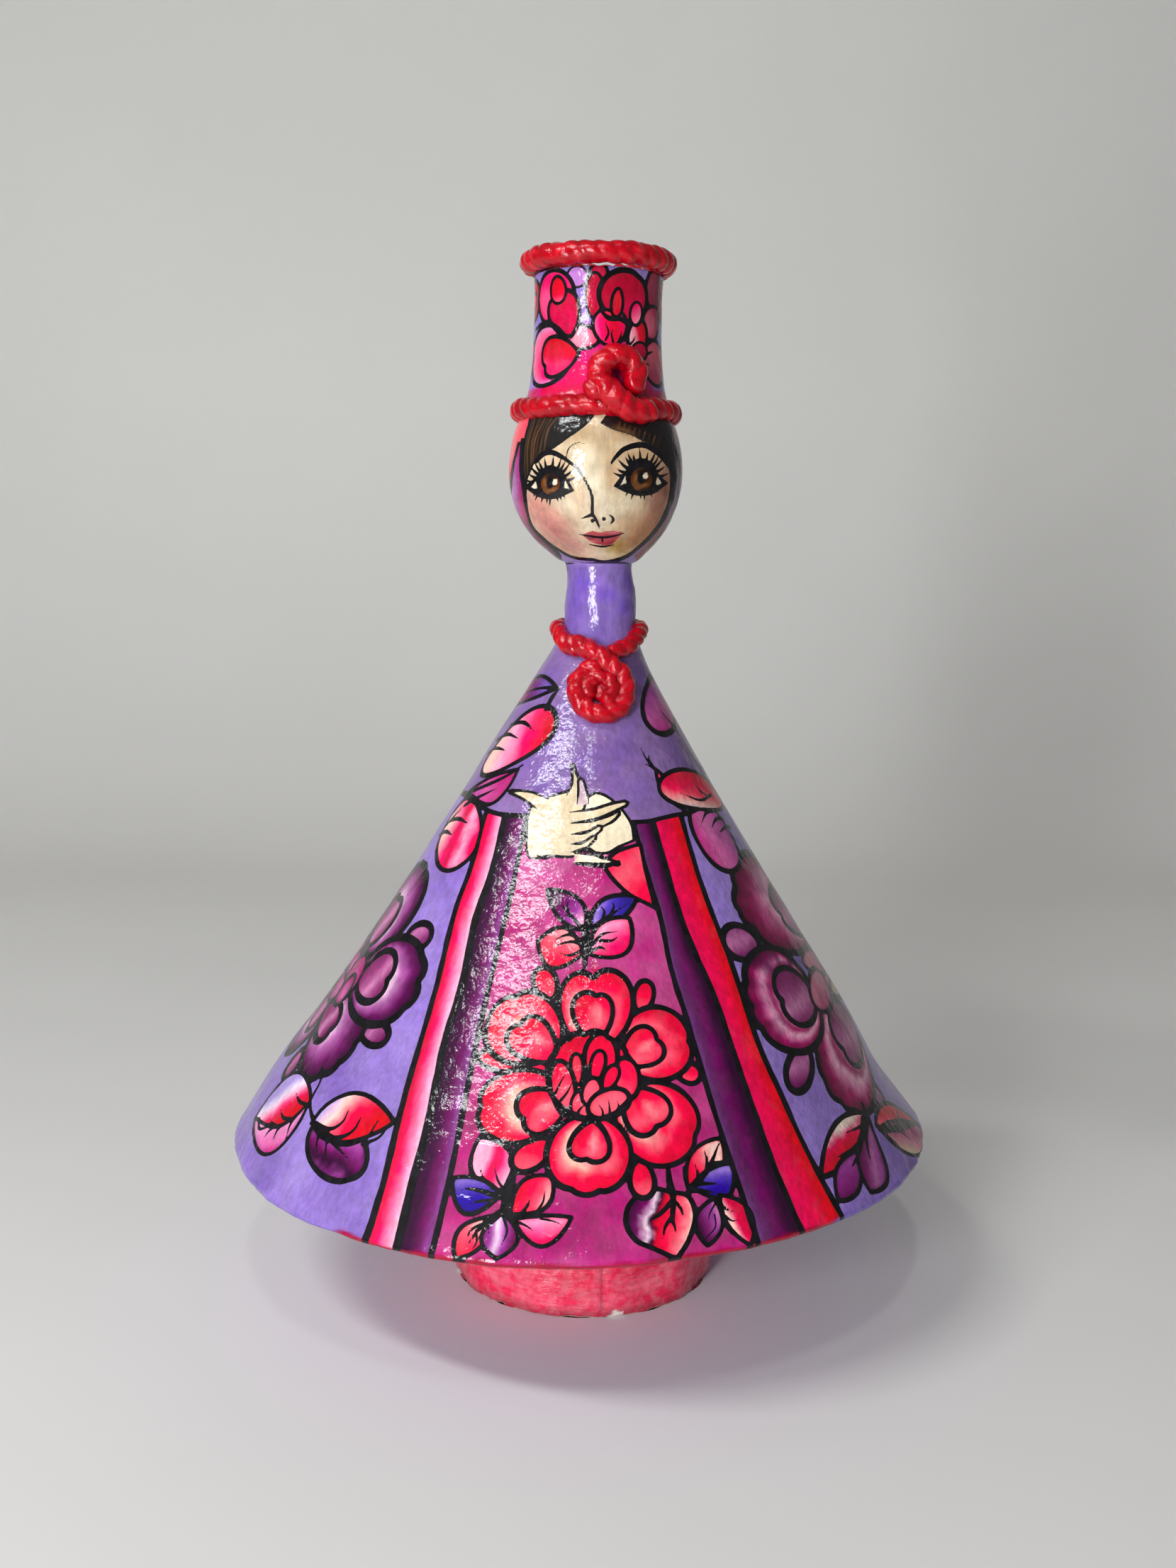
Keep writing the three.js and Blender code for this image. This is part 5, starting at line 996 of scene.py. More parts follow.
def make_object(name, verts_mm, faces, smooth_shade=True):
    me = bpy.data.meshes.new(name)
    v = np.asarray(verts_mm, np.float32) * MM
    me.vertices.add(len(v))
    me.vertices.foreach_set("co", v.ravel())
    sizes = np.array([len(f) for f in faces], np.int32)
    me.loops.add(int(sizes.sum()))
    me.loops.foreach_set("vertex_index", np.concatenate([np.asarray(f, np.int32) for f in faces]))
    me.polygons.add(len(faces))
    me.polygons.foreach_set("loop_start", np.concatenate([[0], np.cumsum(sizes)[:-1]]).astype(np.int32))
    me.update(calc_edges=True)
    me.validate()
    me.polygons.foreach_set("use_smooth", np.full(len(me.polygons), smooth_shade))
    rims = {tuple(sorted(e)) for p in me.polygons if len(p.vertices) > 60 for e in p.edge_keys}
    if rims:                                             # a closing disc keeps its own flat shade
        sharp = me.attributes.new("sharp_edge", "BOOLEAN", "EDGE")
        sharp.data.foreach_set("value", [tuple(sorted(e.vertices)) in rims for e in me.edges])
    ob = bpy.data.objects.new(name, me)
    bpy.context.scene.collection.objects.link(ob)
    return ob


def give_paint(ob, col, ink=None, **more):
    me = ob.data
    a = me.attributes.new("paint", "FLOAT_COLOR", "POINT")
    rgba = np.ones((len(me.vertices), 4), np.float32)
    rgba[:, :3] = to_linear(col)
    a.data.foreach_set("color", rgba.ravel())
    if ink is not None:
        more["ink"] = ink
    for k, v in more.items():
        b = me.attributes.new(k, "FLOAT", "POINT")
        b.data.foreach_set("value", np.asarray(v, np.float32))


def resample(points, step):
    P = np.asarray(points, float)
    s = np.concatenate([[0], np.cumsum(np.hypot(*np.diff(P, axis=0).T))])
    n = max(2, int(math.ceil(s[-1] / step)))
    q = np.unique(np.concatenate([np.linspace(0, s[-1], n + 1), s]))
    return np.stack([np.interp(q, s, P[:, 0]), np.interp(q, s, P[:, 1])], -1)


def skin(profile, columns, levels, need_at):
    """A surface of revolution cut into cells that get smaller where the painting has detail.
    profile runs along the outside with the material on its left; need_at gives the cell size."""
    P = resample(profile, 0.25)
    ds = np.hypot(*np.diff(P, axis=0).T)
    q = np.concatenate([[0], np.cumsum(ds / np.maximum(0.5, (P[1:, 0] + P[:-1, 0]) / 2))])
    h0 = 2 * math.pi / columns
    rows = max(1, int(round(q[-1] / h0)))
    top = 1 << levels
    W, H = columns * top, rows * top
    q_of = lambda j: np.asarray(j, float) / H * q[-1]
    rz = lambda j: (np.interp(q_of(j), q, P[:, 0]), np.interp(q_of(j), q, P[:, 1]))
    th_of = lambda i: (np.asarray(i, float) / W) * 2 * math.pi - math.pi
    ii, jj = np.meshgrid(np.arange(columns) * top, np.arange(rows) * top, indexing="ij")
    I, J, S = ii.ravel(), jj.ravel(), top
    leaves = []
    for level in range(levels + 1):
        r, z = rz(J + S / 2)
        size = np.maximum(r * h0 / (1 << level), 1e-3)
        if level == levels:
            leaves.append(np.stack([I, J, np.full(len(I), S)], 1))
            break
        want = need_at(th_of(I + S / 2), r, z, size * 0.7, q_of(J + S / 2) / q[-1])
        cut = size > want
        leaves.append(np.stack([I[~cut], J[~cut], np.full((~cut).sum(), S)], 1))
        I, J = I[cut], J[cut]
        S //= 2
        if not len(I):
            break
        I, J = np.concatenate([I, I + S, I, I + S]), np.concatenate([J, J, J + S, J + S])
    L = np.concatenate(leaves)
    K = H + 1
    key = lambda i, j: (i % W) * K + j
    corners = np.concatenate([key(L[:, 0], L[:, 1]), key(L[:, 0] + L[:, 2], L[:, 1]), key(L[:, 0], L[:, 1] + L[:, 2]), key(L[:, 0] + L[:, 2], L[:, 1] + L[:, 2])])
    keys = np.unique(corners)
    index = {int(k): n for n, k in enumerate(keys)}

    def side(i0, j0, i1, j1, out):
        if abs(i1 - i0) + abs(j1 - j0) < 2:
            return
        im, jm = (i0 + i1) // 2, (j0 + j1) // 2
        k = index.get((im % W) * K + jm)
        if k is None:
            return
        side(i0, j0, im, jm, out)
        out.append(k)
        side(im, jm, i1, j1, out)

    faces = []
    for i, j, s in L.tolist():
        f = []
        for a, b, c, d in ((i, j, i + s, j), (i + s, j, i + s, j + s), (i + s, j + s, i, j + s), (i, j + s, i, j)):
            f.append(index[(a % W) * K + b])
            side(a, b, c, d, f)
        faces.append(f)
    vi, vj = keys // K, keys % K
    low = [index[int(k)] for k in keys[vj == 0]]
    high = [index[int(k)] for k in keys[vj == H]]
    faces.append(low[::-1])
    faces.append(high)
    th = th_of(vi)
    r, z = rz(vj)
    r2, z2 = rz(np.clip(vj + 0.6, 0, H))
    r1, z1 = rz(np.clip(vj - 0.6, 0, H))
    d = np.stack([r2 - r1, z2 - z1], -1)
    d /= np.maximum(1e-9, np.hypot(d[:, 0], d[:, 1]))[:, None]
    return th, r, z, d[:, 1], -d[:, 0], faces, q_of(vj) / q[-1]


def place(th, r, z, nr, nz, relief):
    """Raise the skin by relief along its normal and give it its hand-built shape."""
    return hand_built(th, np.maximum(0.05, r + relief * nr), z + relief * nz)


def paper_relief(th, r, z, seed, wave, strip):
    """Slow swells of the paper and the edges of the pasted strips, in mm."""
    x, y = r * np.sin(th), -r * np.cos(th)
    a = vnoise(x + 0.3 * z, y + 0.5 * z, 46, seed) * wave
    b = vnoise(x * 1.1 + 40, z - y * 0.4, 19, seed + 1) * wave * 0.45
    # torn strips of paper laid over each other
    u = x * 0.8 + z * 0.5 + 3.5 * vnoise(x, z + y, 24, seed + 2)
    v = z * 0.9 - x * 0.35 + y * 0.4 + 3.0 * vnoise(y, z, 21, seed + 3)
    edge = lambda w, p: smooth((w / p - np.floor(w / p)) * 9) * (1 - (w / p - np.floor(w / p)))
    return a + b + strip * (edge(u, 31.0) + edge(v, 37.0) - 0.9) + 0.035 * vnoise(x * 1.0, z + y, 3.1, seed + 5)


def frames(P, closed):
    """Parallel frames along a 3-D path."""
    P = np.asarray(P, float)
    if closed:
        T = np.roll(P, -1, 0) - np.roll(P, 1, 0)
    else:
        T = np.gradient(P, axis=0)
    T /= np.linalg.norm(T, axis=1)[:, None]
    N = np.zeros_like(P)
    n = np.cross(T[0], (0.3, 0.2, 1.0))
    N[0] = n / np.linalg.norm(n)
    for i in range(1, len(P)):
        n = N[i - 1] - T[i] * np.dot(N[i - 1], T[i])
        N[i] = n / np.linalg.norm(n)
    B = np.cross(T, N)
    if closed:                                          # spread the closing twist over the ring
        n = N[-1] - T[0] * np.dot(N[-1], T[0])
        n /= np.linalg.norm(n)
        ang = math.atan2(np.dot(n, B[0]), np.dot(n, N[0]))
        f = -ang * np.arange(len(P)) / len(P)
        N, B = N * np.cos(f)[:, None] + B * np.sin(f)[:, None], B * np.cos(f)[:, None] - N * np.sin(f)[:, None]
    return T, N, B


def smooth_path(points, step, closed=False):
    P = np.asarray(points, float)
    m = len(P)
    out = []
    for i in range(m if closed else m - 1):
        if closed:
            a, b, c, d = P[(i - 1) % m], P[i], P[(i + 1) % m], P[(i + 2) % m]
        else:
            b, c = P[i], P[i + 1]
            a = P[i - 1] if i else 2 * b - c
            d = P[i + 2] if i + 2 < m else 2 * c - b
        n = max(1, int(np.linalg.norm(c - b) / step))
        for k in range(n):
            t = k / n
            out.append(0.5 * (2 * b + (c - a) * t + (2 * a - 5 * b + 4 * c - d) * t * t + (3 * b - a - 3 * c + d) * t**3))
    if not closed:
        out.append(P[-1])
    return np.array(out)


def cord(points, r, pitch, depth, seed, closed=False, around=28, step=0.55, strands=2, lumps=0.10, ends=(1.0, 1.0)):
    """A twisted paper cord along a path, thick with paint: strands wind round it, pitch apart.
    depth, the depth of the grooves as a share of the radius, may change along it."""
    P = smooth_path(points, step, closed)
    T, N, B = frames(P, closed)
    n = len(P)
    seg = np.linalg.norm(np.roll(P, -1, 0) - P, axis=1) if closed else np.concatenate([[0], np.linalg.norm(np.diff(P, axis=0), axis=1)])
    s = np.concatenate([[0], np.cumsum(seg)[:-1]]) if closed else np.cumsum(seg)
    total = s[-1] + (seg[-1] if closed else 0)
    turns = total / (pitch * strands)
    if closed:
        turns = round(turns * strands) / strands
    a = np.linspace(0, 2 * np.pi, around, endpoint=False)
    S, A = np.meshgrid(s, a, indexing="ij")
    ph = strands * A - 2 * np.pi * S / total * turns * strands
    ph = ph + (0.0 if closed else 0.35 * vnoise(S, A * 0 + seed, 11.0, seed))
    groove = 1 - np.abs(np.sin(ph / 2)) ** 0.7           # 1 in a groove, 0 on a strand's back
    dep = depth(s / total)[:, None] if callable(depth) else depth
    wob = lumps * vnoise(S + 5 * np.cos(A), 5 * np.sin(A) + seed * 3.1, 4.6, seed) + 0.4 * lumps * vnoise(S + 3 * np.cos(A), 3 * np.sin(A), 1.9, seed + 4)
    if closed:                                          # let the lumps close on themselves
        f = smooth((S / total - 0.9) / 0.1)
        S0 = S - total
        wob0 = lumps * vnoise(S0 + 5 * np.cos(A), 5 * np.sin(A) + seed * 3.1, 4.6, seed) + 0.4 * lumps * vnoise(S0 + 3 * np.cos(A), 3 * np.sin(A), 1.9, seed + 4)
        wob = wob * (1 - f) + wob0 * f
    rad = r * (1 - dep * groove + dep * 0.35 + wob)
    if not closed:
        e0, e1 = S / (r * 0.9), (total - S) / (r * 0.9)
        rad = rad * np.sqrt(np.clip(1 - np.clip(1 - e0, 0, 1) ** 2, 0.02, 1) * ends[0] + (1 - ends[0])) * np.sqrt(np.clip(1 - np.clip(1 - e1, 0, 1) ** 2, 0.02, 1) * ends[1] + (1 - ends[1]))
    V = P[:, None] + rad[..., None] * (np.cos(A)[..., None] * N[:, None] + np.sin(A)[..., None] * B[:, None])
    F = []
    for i in range(n if closed else n - 1):
        i2 = (i + 1) % n
        for k in range(around):
            k2 = (k + 1) % around
            F.append([i * around + k, i * around + k2, i2 * around + k2, i2 * around + k])
    if not closed:
        F.append([k for k in range(around)][::-1])
        F.append([(n - 1) * around + k for k in range(around)])
    return V.reshape(-1, 3), F


def outward(ob):
    """Turn the faces so that they look outwards."""
    import bmesh
    bm = bmesh.new()
    bm.from_mesh(ob.data)
    bmesh.ops.recalc_face_normals(bm, faces=bm.faces)
    bm.to_mesh(ob.data)
    bm.free()


def fuse(ob, voxel, relax=2):
    """Melt overlapping tubes into one closed skin, as thick paint does."""
    bpy.context.view_layer.objects.active = ob
    for o in bpy.context.selected_objects:
        o.select_set(False)
    ob.select_set(True)
    m = ob.modifiers.new("fuse", "REMESH")
    m.mode, m.voxel_size, m.adaptivity = "VOXEL", voxel * MM, 0.0
    m.use_smooth_shade = True
    c = ob.modifiers.new("relax", "SMOOTH")
    c.factor, c.iterations = 0.5, relax
    dg = bpy.context.evaluated_depsgraph_get()
    me = bpy.data.meshes.new_from_object(ob.evaluated_get(dg))
    ob.modifiers.clear()
    old = ob.data
    ob.data = me
    bpy.data.meshes.remove(old)
    me.polygons.foreach_set("use_smooth", np.full(len(me.polygons), True))
    return ob


def hollows(ob, rounds=10):
    """How deep each point lies in a groove: its height under the mean of its surroundings, mm."""
    me = ob.data
    n = len(me.vertices)
    co = np.empty(n * 3, np.float32)
    me.vertices.foreach_get("co", co)
    co = co.reshape(-1, 3).astype(float) / MM
    nor = np.empty(n * 3, np.float32)
    me.vertex_normals.foreach_get("vector", nor)
    nor = nor.reshape(-1, 3)
    e = np.empty(len(me.edges) * 2, np.int32)
    me.edges.foreach_get("vertices", e)
    e = e.reshape(-1, 2)
    deg = np.bincount(e.ravel(), minlength=n)[:, None]
    p = co.copy()
    for _ in range(rounds):
        acc = np.stack([np.bincount(e[:, 0], p[e[:, 1], k], n) + np.bincount(e[:, 1], p[e[:, 0], k], n) for k in range(3)], -1)
        p = 0.4 * p + 0.6 * acc / np.maximum(1, deg)
    return ((p - co) * nor).sum(1)

# ------------------------------------------------------------------ profiles of the paper body
def arc(r0, z0, r1, z1, r2, z2, n=8):
    """A rounded corner from the first point to the third, bending at the second."""
    t = np.linspace(0, 1, n)[:, None]
    a, b, c = np.array([[r0, z0]]), np.array([[r1, z1]]), np.array([[r2, z2]])
    return ((1 - t) ** 2 * a + 2 * t * (1 - t) * b + t * t * c).tolist()


SEAM_LOW, SEAM_HIGH = 234.6, 310.2      # hidden under the neck cord and the hat's cord

hem_at = float(body_radius(HEM_Z + 0.9))
skirt_profile = ([[3.0, UNDER_Z], [HEM_R - 9, UNDER_Z]]
                 + arc(HEM_R - 6, UNDER_Z - 0.15, HEM_R - 0.2, UNDER_Z - 1.2, hem_at, HEM_Z + 0.9)
                 + [[float(body_radius(z)), z] for z in np.linspace(HEM_Z + 1.4, SEAM_LOW, 260)])
head_profile = [[float(body_radius(z)), z] for z in np.concatenate([np.linspace(SEAM_LOW, 257, 40), np.linspace(257.2, SEAM_HIGH, 260)])]
hat_r = lambda z: HAT_R + HAT_FLARE * np.exp(-(z - HAT_FLARE_Z) / HAT_FLARE_LEN) + 0.3 * smooth((z - 347) / 8)
hat_profile = ([[float(min(body_radius(z), hat_r(max(z, 311.0)))), z] for z in np.linspace(SEAM_HIGH, HAT_TOP - 1.0, 120)]
               + arc(float(hat_r(355)), HAT_TOP - 1.0, float(hat_r(355)), HAT_TOP, float(hat_r(355)) - 0.9, HAT_TOP)
               + arc(CUP_R + 0.8, HAT_TOP, CUP_R, HAT_TOP, CUP_R, HAT_TOP - 0.9)
               + [[CUP_R, z] for z in np.linspace(HAT_TOP - 1.4, CUP_FLOOR + 1.6, 20)]
               + arc(CUP_R, CUP_FLOOR + 1.5, CUP_R, CUP_FLOOR, CUP_R - 1.5, CUP_FLOOR) + [[2.0, CUP_FLOOR]])


# ------------------------------------------------------------------ the painted paper body
def underside(col, th, r, z):
    """Thin lilac wash with brush streaks on the card that closes the skirt below."""
    x, y = r * np.sin(th), -r * np.cos(th)
    st = vnoise(x * 0.25 + y * 0.1, y * 2.2, 3.0, 81) * 0.5 + vnoise(x * 0.1, y, 9.0, 82) * 0.5
    u = np.clip(0.5 + 0.5 * st, 0, 1)[:, None]
    return C(132, 112, 178) * (1 - u) + C(158, 138, 200) * u


def lip_paint(col, th, r, z):
    """The hem's edge: dark red below the striped front, a darker lilac elsewhere."""
    x, y = r * np.sin(th), -r * np.cos(th)
    on = smooth((r - (HEM_R - 5)) / 2.0) * smooth((HEM_Z + 1.5 - z + 0.9 * vnoise(x, y, 6.0, 91)) / 1.2)
    front = smooth((0.70 - np.abs(th - 0.03)) / 0.06)
    c = C(158, 10, 46) * front[:, None] + C(122, 100, 180) * (1 - front)[:, None]
    return col * (1 - on)[:, None] + c * on[:, None]


def skirt_colours(th, r, z, pad, q):
    col, ink, need = paint_skirt(th, r, z, pad)
    up = q > Q_HEM
    x, y = r * np.sin(th), -r * np.cos(th)
    col = np.where(up[:, None], col, underside(col, th, r, z))
    ink = np.where(up, ink, -6.0)
    col = lip_paint(col, th, r, z)
    ink = np.where((z < HEM_Z - 0.2) & up, np.minimum(ink, -0.3 + (z - UNDER_Z) * 0.4), ink)
    need = np.where(up, need, np.clip(0.9 + 0.35 * (HEM_R - 8 - r - pad), 0.9, 7.0))
    need = np.where(up, np.minimum(need, 2.6), need)
    gap = np.maximum(0, np.hypot(HEM_R - r, (z - HEM_Z) * 1.0) - pad - 3.5)
    need = np.minimum(need, 0.85 + 0.4 * gap)
    return col, ink, need


def hem_fraction(profile):
    P = resample(profile, 0.25)
    ds = np.hypot(*np.diff(P, axis=0).T)
    q = np.concatenate([[0], np.cumsum(ds / np.maximum(0.5, (P[1:, 0] + P[:-1, 0]) / 2))])
    return q[np.argmax(P[:, 0])] / q[-1]


Q_HEM = hem_fraction(skirt_profile) - 0.004


def build_skirt():
    th, r, z, nr, nz, faces, q = skin(skirt_profile, 32, 6, lambda a, b, c, d, e: skirt_colours(a, b, c, d, e)[2])
    col, ink, _ = skirt_colours(th, r, z, np.zeros(len(th)), q)
    up = smooth((q - Q_HEM + 0.01) / 0.02)
    rel = paper_relief(th, r, z, 3, 0.55, 0.11) * (0.35 + 0.65 * up) * smooth((234.0 - z) / 6) * smooth((r - 3) / 6)
    hem = np.exp(-((np.hypot(r - HEM_R, z - HEM_Z)) / 3.5) ** 2)
    x, y = r * np.sin(th), -r * np.cos(th)
    rel = rel + hem * (0.30 * vnoise(x, y, 9.0, 12) + 0.16 * vnoise(x, y, 3.2, 14))
    rel = np.where((q < Q_HEM) & (r < FOOT_R + 4), np.minimum(rel, 0) * 0, rel)
    rel = np.where(q < Q_HEM, np.clip(rel, -0.25, 0.2), rel)
    V = place(th, r, z, nr, nz, rel)
    mid = lambda f: sum(abs(th[k]) if abs(th[k]) < 3.1 else 3.1 for k in f) / len(f)
    shells = []
    for name, sel in (("skirt_front", lambda t: t <= math.pi / 2), ("skirt_back", lambda t: t > math.pi / 2)):
        part = [f for f in faces if len(f) < 60 and sel(mid(f))]
        used = np.unique(np.concatenate([np.array(f) for f in part]))
        new = np.full(len(th), -1)
        new[used] = np.arange(len(used))
        ob = make_object(name, V[used], [[int(new[k]) for k in f] for f in part])
        give_paint(ob, col[used], ink[used])
        shells.append((ob, used))
    # both shells take the shading of the whole skirt where they meet
    N = np.zeros_like(V)
    for f in faces:
        if len(f) < 60:
            P = V[f]
            N[f] += np.cross(P, np.roll(P, -1, 0)).sum(0)
    N /= np.maximum(1e-12, np.linalg.norm(N, axis=1))[:, None]
    for ob, used in shells:
        ob.data.normals_split_custom_set_from_vertices(N[used].tolist())
    return [ob for ob, used in shells]


def head_colours(th, r, z, pad, q):
    col, ink, need = paint_head(th, r, z, pad)
    return col, ink, np.minimum(need, 1.7)


def build_head():
    th, r, z, nr, nz, faces, q = skin(head_profile, 16, 5, lambda a, b, c, d, e: head_colours(a, b, c, d, e)[2])
    col, ink, _ = head_colours(th, r, z, np.zeros(len(th)), q)
    rel = paper_relief(th, r, z, 8, 0.32, 0.05) * smooth((z - 235.0) / 4) * smooth((309 - z) / 4)
    rel = rel + 0.55 * np.exp(-((z - 259.4) / 1.7) ** 2) * smooth((1.9 - np.abs(th)) / 0.4)      # the chin's fold over the neck
    on = smooth((z - 236) / 4) * smooth((258 - z) / 4)
    rel = rel + on * (0.35 * vnoise(th * 12, z, 6.5, 44) + 0.2 * vnoise(th * 12, z, 3.0, 45))
    ob = make_object("head_paper", place(th, r, z, nr, nz, rel), faces)
    give_paint(ob, col, ink)
    return ob


def hat_colours(th, r, z, pad, q):
    inside = (q > Q_HAT)
    col, ink, need = paint_hat(th, r, z, pad, inside)
    need = np.minimum(need, np.where(inside, 2.2, 1.5))
    need = np.minimum(need, 0.6 + 0.5 * np.maximum(0, HAT_TOP - z - 1.2 - pad))
    return col, ink, need


def rim_fraction(profile, z_top):
    P = resample(profile, 0.25)
    ds = np.hypot(*np.diff(P, axis=0).T)
    q = np.concatenate([[0], np.cumsum(ds / np.maximum(0.5, (P[1:, 0] + P[:-1, 0]) / 2))])
    return q[np.nonzero((P[:, 1] >= z_top - 1e-6))[0][-1]] / q[-1]


Q_HAT = rim_fraction(hat_profile, HAT_TOP)


def build_hat():
    th, r, z, nr, nz, faces, q = skin(hat_profile, 16, 5, lambda a, b, c, d, e: hat_colours(a, b, c, d, e)[2])
    col, ink, _ = hat_colours(th, r, z, np.zeros(len(th)), q)
    outer = q <= Q_HAT
    rel = np.where(outer, paper_relief(th, r, z, 15, 0.24, 0.05), 0.5 * paper_relief(th, r, z, 16, 0.2, 0.09))
    rel = rel * smooth((z - 311) / 3) * np.where(outer, 1, smooth((z - CUP_FLOOR - 1) / 4))
    ob = make_object("hat_paper", place(th, r, z, nr, nz, rel), faces)
    give_paint(ob, col, ink, inside=smooth((q - Q_HAT + 0.002) / 0.004))
    return ob


# ------------------------------------------------------------------ the drum foot
def build_foot():
    rows = np.concatenate([np.linspace(0, 3, 7), np.linspace(3.8, 50, 30), np.linspace(51, FOOT_H, 4)])
    n = 360
    th = np.linspace(-np.pi, np.pi, n, endpoint=False)
    T, Z = np.meshgrid(th, rows, indexing="ij")
    step = 2 * np.pi / FOOT_FACETS
    g = np.mod(T + 0.33, step) / step - 0.5
    base = np.interp(Z, [0, 0.6, 4, 30, FOOT_H], [FOOT_R - 0.5, FOOT_R - 0.1, FOOT_R, FOOT_TOP_R + 0.3, FOOT_TOP_R])
    R = base - FOOT_FLAT * np.cos(np.pi * g) ** 2
    X, Y = R * np.sin(T), -R * np.cos(T)
    R = R + 0.22 * vnoise(X + Y * 0.3, Z, 13, 5) + 0.10 * vnoise(X * 1.7, Z + Y, 4.2, 6)
    R = R - 0.35 * np.exp(-(((T - 0.143) * 48) / 0.9) ** 2) * smooth((Z - 2) / 6)                 # a crease in the card
    rag = np.exp(-(Z / 2.2) ** 2)
    R = R + rag * (0.45 * vnoise(X, Y, 4.0, 7) + 0.25 * vnoise(X, Y, 1.6, 8)) - 0.35 * rag
    lift = np.maximum(0, vnoise(X, Y, 7.0, 9) - 0.25) * 0.9 + np.maximum(0, vnoise(X, Y, 2.4, 10) - 0.4) * 0.5
    Zp = np.where(Z < 3, Z + lift * (1 - Z / 3), Z)
    V = np.stack([R * np.sin(T), -R * np.cos(T), Zp], -1).reshape(-1, 3)
    m = len(rows)
    F = [[i * m + k, ((i + 1) % n) * m + k, ((i + 1) % n) * m + k + 1, i * m + k + 1] for i in range(n) for k in range(m - 1)]
    # underside: rings in to the middle, flat on the table
    rings = [46.6, 44.0, 36.0, 26.0, 16.0, 6.0]
    extra, idx0 = [], len(V)
    for j, rr in enumerate(rings):
        a = th
        k = 1 - 0.012 * np.cos(FOOT_FACETS * (a + 0.33)) if rr > 40 else np.ones(n)
        extra.append(np.stack([rr * k * np.sin(a), -rr * k * np.cos(a), np.zeros(n)], -1))
    V = np.vstack([V] + extra)
    prev = [i * m for i in range(n)]
    for j in range(len(rings)):
        cur = [idx0 + j * n + i for i in range(n)]
        F += [[prev[(i + 1) % n], prev[i], cur[i], cur[(i + 1) % n]] for i in range(n)]
        prev = cur
    F.append(prev)
    F.append([i * m + m - 1 for i in range(n)])
    ob = make_object("foot_card", V, F)
    x, y, z = V[:, 0], V[:, 1], V[:, 2]
    t = np.arctan2(x, -y)
    arcx = t * 48
    s1 = vnoise(arcx * 0.22, z * 1.6, 2.4, 21) * 0.55 + vnoise(arcx * 0.15, z * 0.6, 3.2, 22) * 0.6
    blot = fnoise(arcx, z, 15, 23)
    u = np.clip(0.5 + 0.55 * s1 + 0.5 * blot, 0, 1)[:, None]
    col = C(232, 30, 72) * (1 - u) + C(255, 78, 112) * u
    hi = smooth((blot - 0.2) / 0.3)[:, None] * 0.4
    col = col * (1 - hi) + C(242, 112, 134) * hi
    # darker over the lowest few millimetres, where the foot stands on the floor
    d = np.exp(-(np.maximum(0, z - 0.5) / 2.6) ** 2)[:, None] * 0.55
    col = col * (1 - d) + C(142, 12, 40) * d
    # painted shade along the crease in the card
    crease_shade = np.exp(-((t - 0.143) * 48 / 0.7) ** 2)[:, None] * 0.5 * (z > 2)[:, None]
    col = col * (1 - crease_shade) + C(150, 10, 46) * crease_shade
    card = ((np.hypot(x, y) < 46.9) & (z < 0.01))[:, None]
    fib = 1 + 0.08 * vnoise(x, y, 2.0, 31)[:, None] + 0.08 * vnoise(x, y, 14, 32)[:, None]
    col = np.where(card, C(172, 150, 128) * fib, col)
    chip = smooth((1.0 - np.hypot((arcx - CHIP[0]) / 3.3, (z - CHIP[1]) / 1.35) + 0.45 * vnoise(arcx, z, 1.3, 33)) / 0.12)
    chip = np.maximum(chip, smooth((0.9 - np.hypot((arcx + 62) / 2.0, (z - 0.6) / 0.9) + 0.4 * vnoise(arcx, z, 1.2, 34)) / 0.15))[:, None] * (~card)
    col = col * (1 - chip) + C(232, 224, 216) * chip
    give_paint(ob, col, np.full(len(V), -6.0), chip=chip[:, 0], card=card[:, 0].astype(float))
    outward(ob)
    return ob


CHIP = (12.6, 1.0)        # where the paint is knocked off the foot: mm round from the front, height


# ------------------------------------------------------------------ the cords
def on_body(phi, z, h):
    a = math.radians(phi)
    r = float(body_radius(z)) + h
    return (math.sin(a) * r + float(axis_offset(z)), -math.cos(a) * r, z)


def ring(R, z, n=72, dz=0.0, dr=0.0, seed=0):
    out = []
    for i in range(n):
        a = 2 * math.pi * i / n
        out.append(((R + dr * math.sin(3 * a + seed)) * math.sin(a), -(R + dr * math.sin(3 * a + seed)) * math.cos(a), z + dz * math.sin(2 * a + seed) + 0.5 * dz * math.sin(5 * a + 2 * seed)))
    return out


def merge(name, parts):
    V, F, k = [], [], 0
    for v, f in parts:
        V.append(v)
        F += [[i + k for i in q] for q in f]
        k += len(v)
    ob = make_object(name, np.vstack(V), F)
    outward(ob)
    return ob


def paint_cord(ob, seed):
    me = ob.data
    n = len(me.vertices)
    co = np.empty(n * 3, np.float32)
    me.vertices.foreach_get("co", co)
    co = co.reshape(-1, 3).astype(float) / MM
    g = hollows(ob)
    t = np.arctan2(co[:, 0], -co[:, 1]) * 25
    n1, n2 = fnoise(t, co[:, 2], 7.0, seed), vnoise(t * 1.3, co[:, 2] * 1.3 + co[:, 1], 2.2, seed + 3)
    u = np.clip(0.5 + 0.7 * n1, 0, 1)[:, None]
    col = C(158, 0, 18) * (1 - u) + C(198, 6, 30) * u
    # painted shade: the grooves between the strands are darker
    groove_shade = smooth((g - 0.02) / 0.20)[:, None] * 0.85
    col = col * (1 - groove_shade) + C(84, 0, 12) * groove_shade
    # lighter on the backs of the strands: partly rubbed paint, partly a painted highlight
    ridge_wear_and_highlight = (smooth((-g - 0.05) / 0.2) * smooth((n2 - 0.15) / 0.5))[:, None] * 0.35
    col = col * (1 - ridge_wear_and_highlight) + C(240, 84, 92) * ridge_wear_and_highlight
    give_paint(ob, col, np.full(n, -6.0), groove=groove_shade[:, 0])


side_deep = lambda lo, hi, p=0.0: (lambda t: lo + (hi - lo) * smooth((np.abs(np.mod(t + p + 0.5, 1.0) - 0.5) - 0.10) / 0.14))


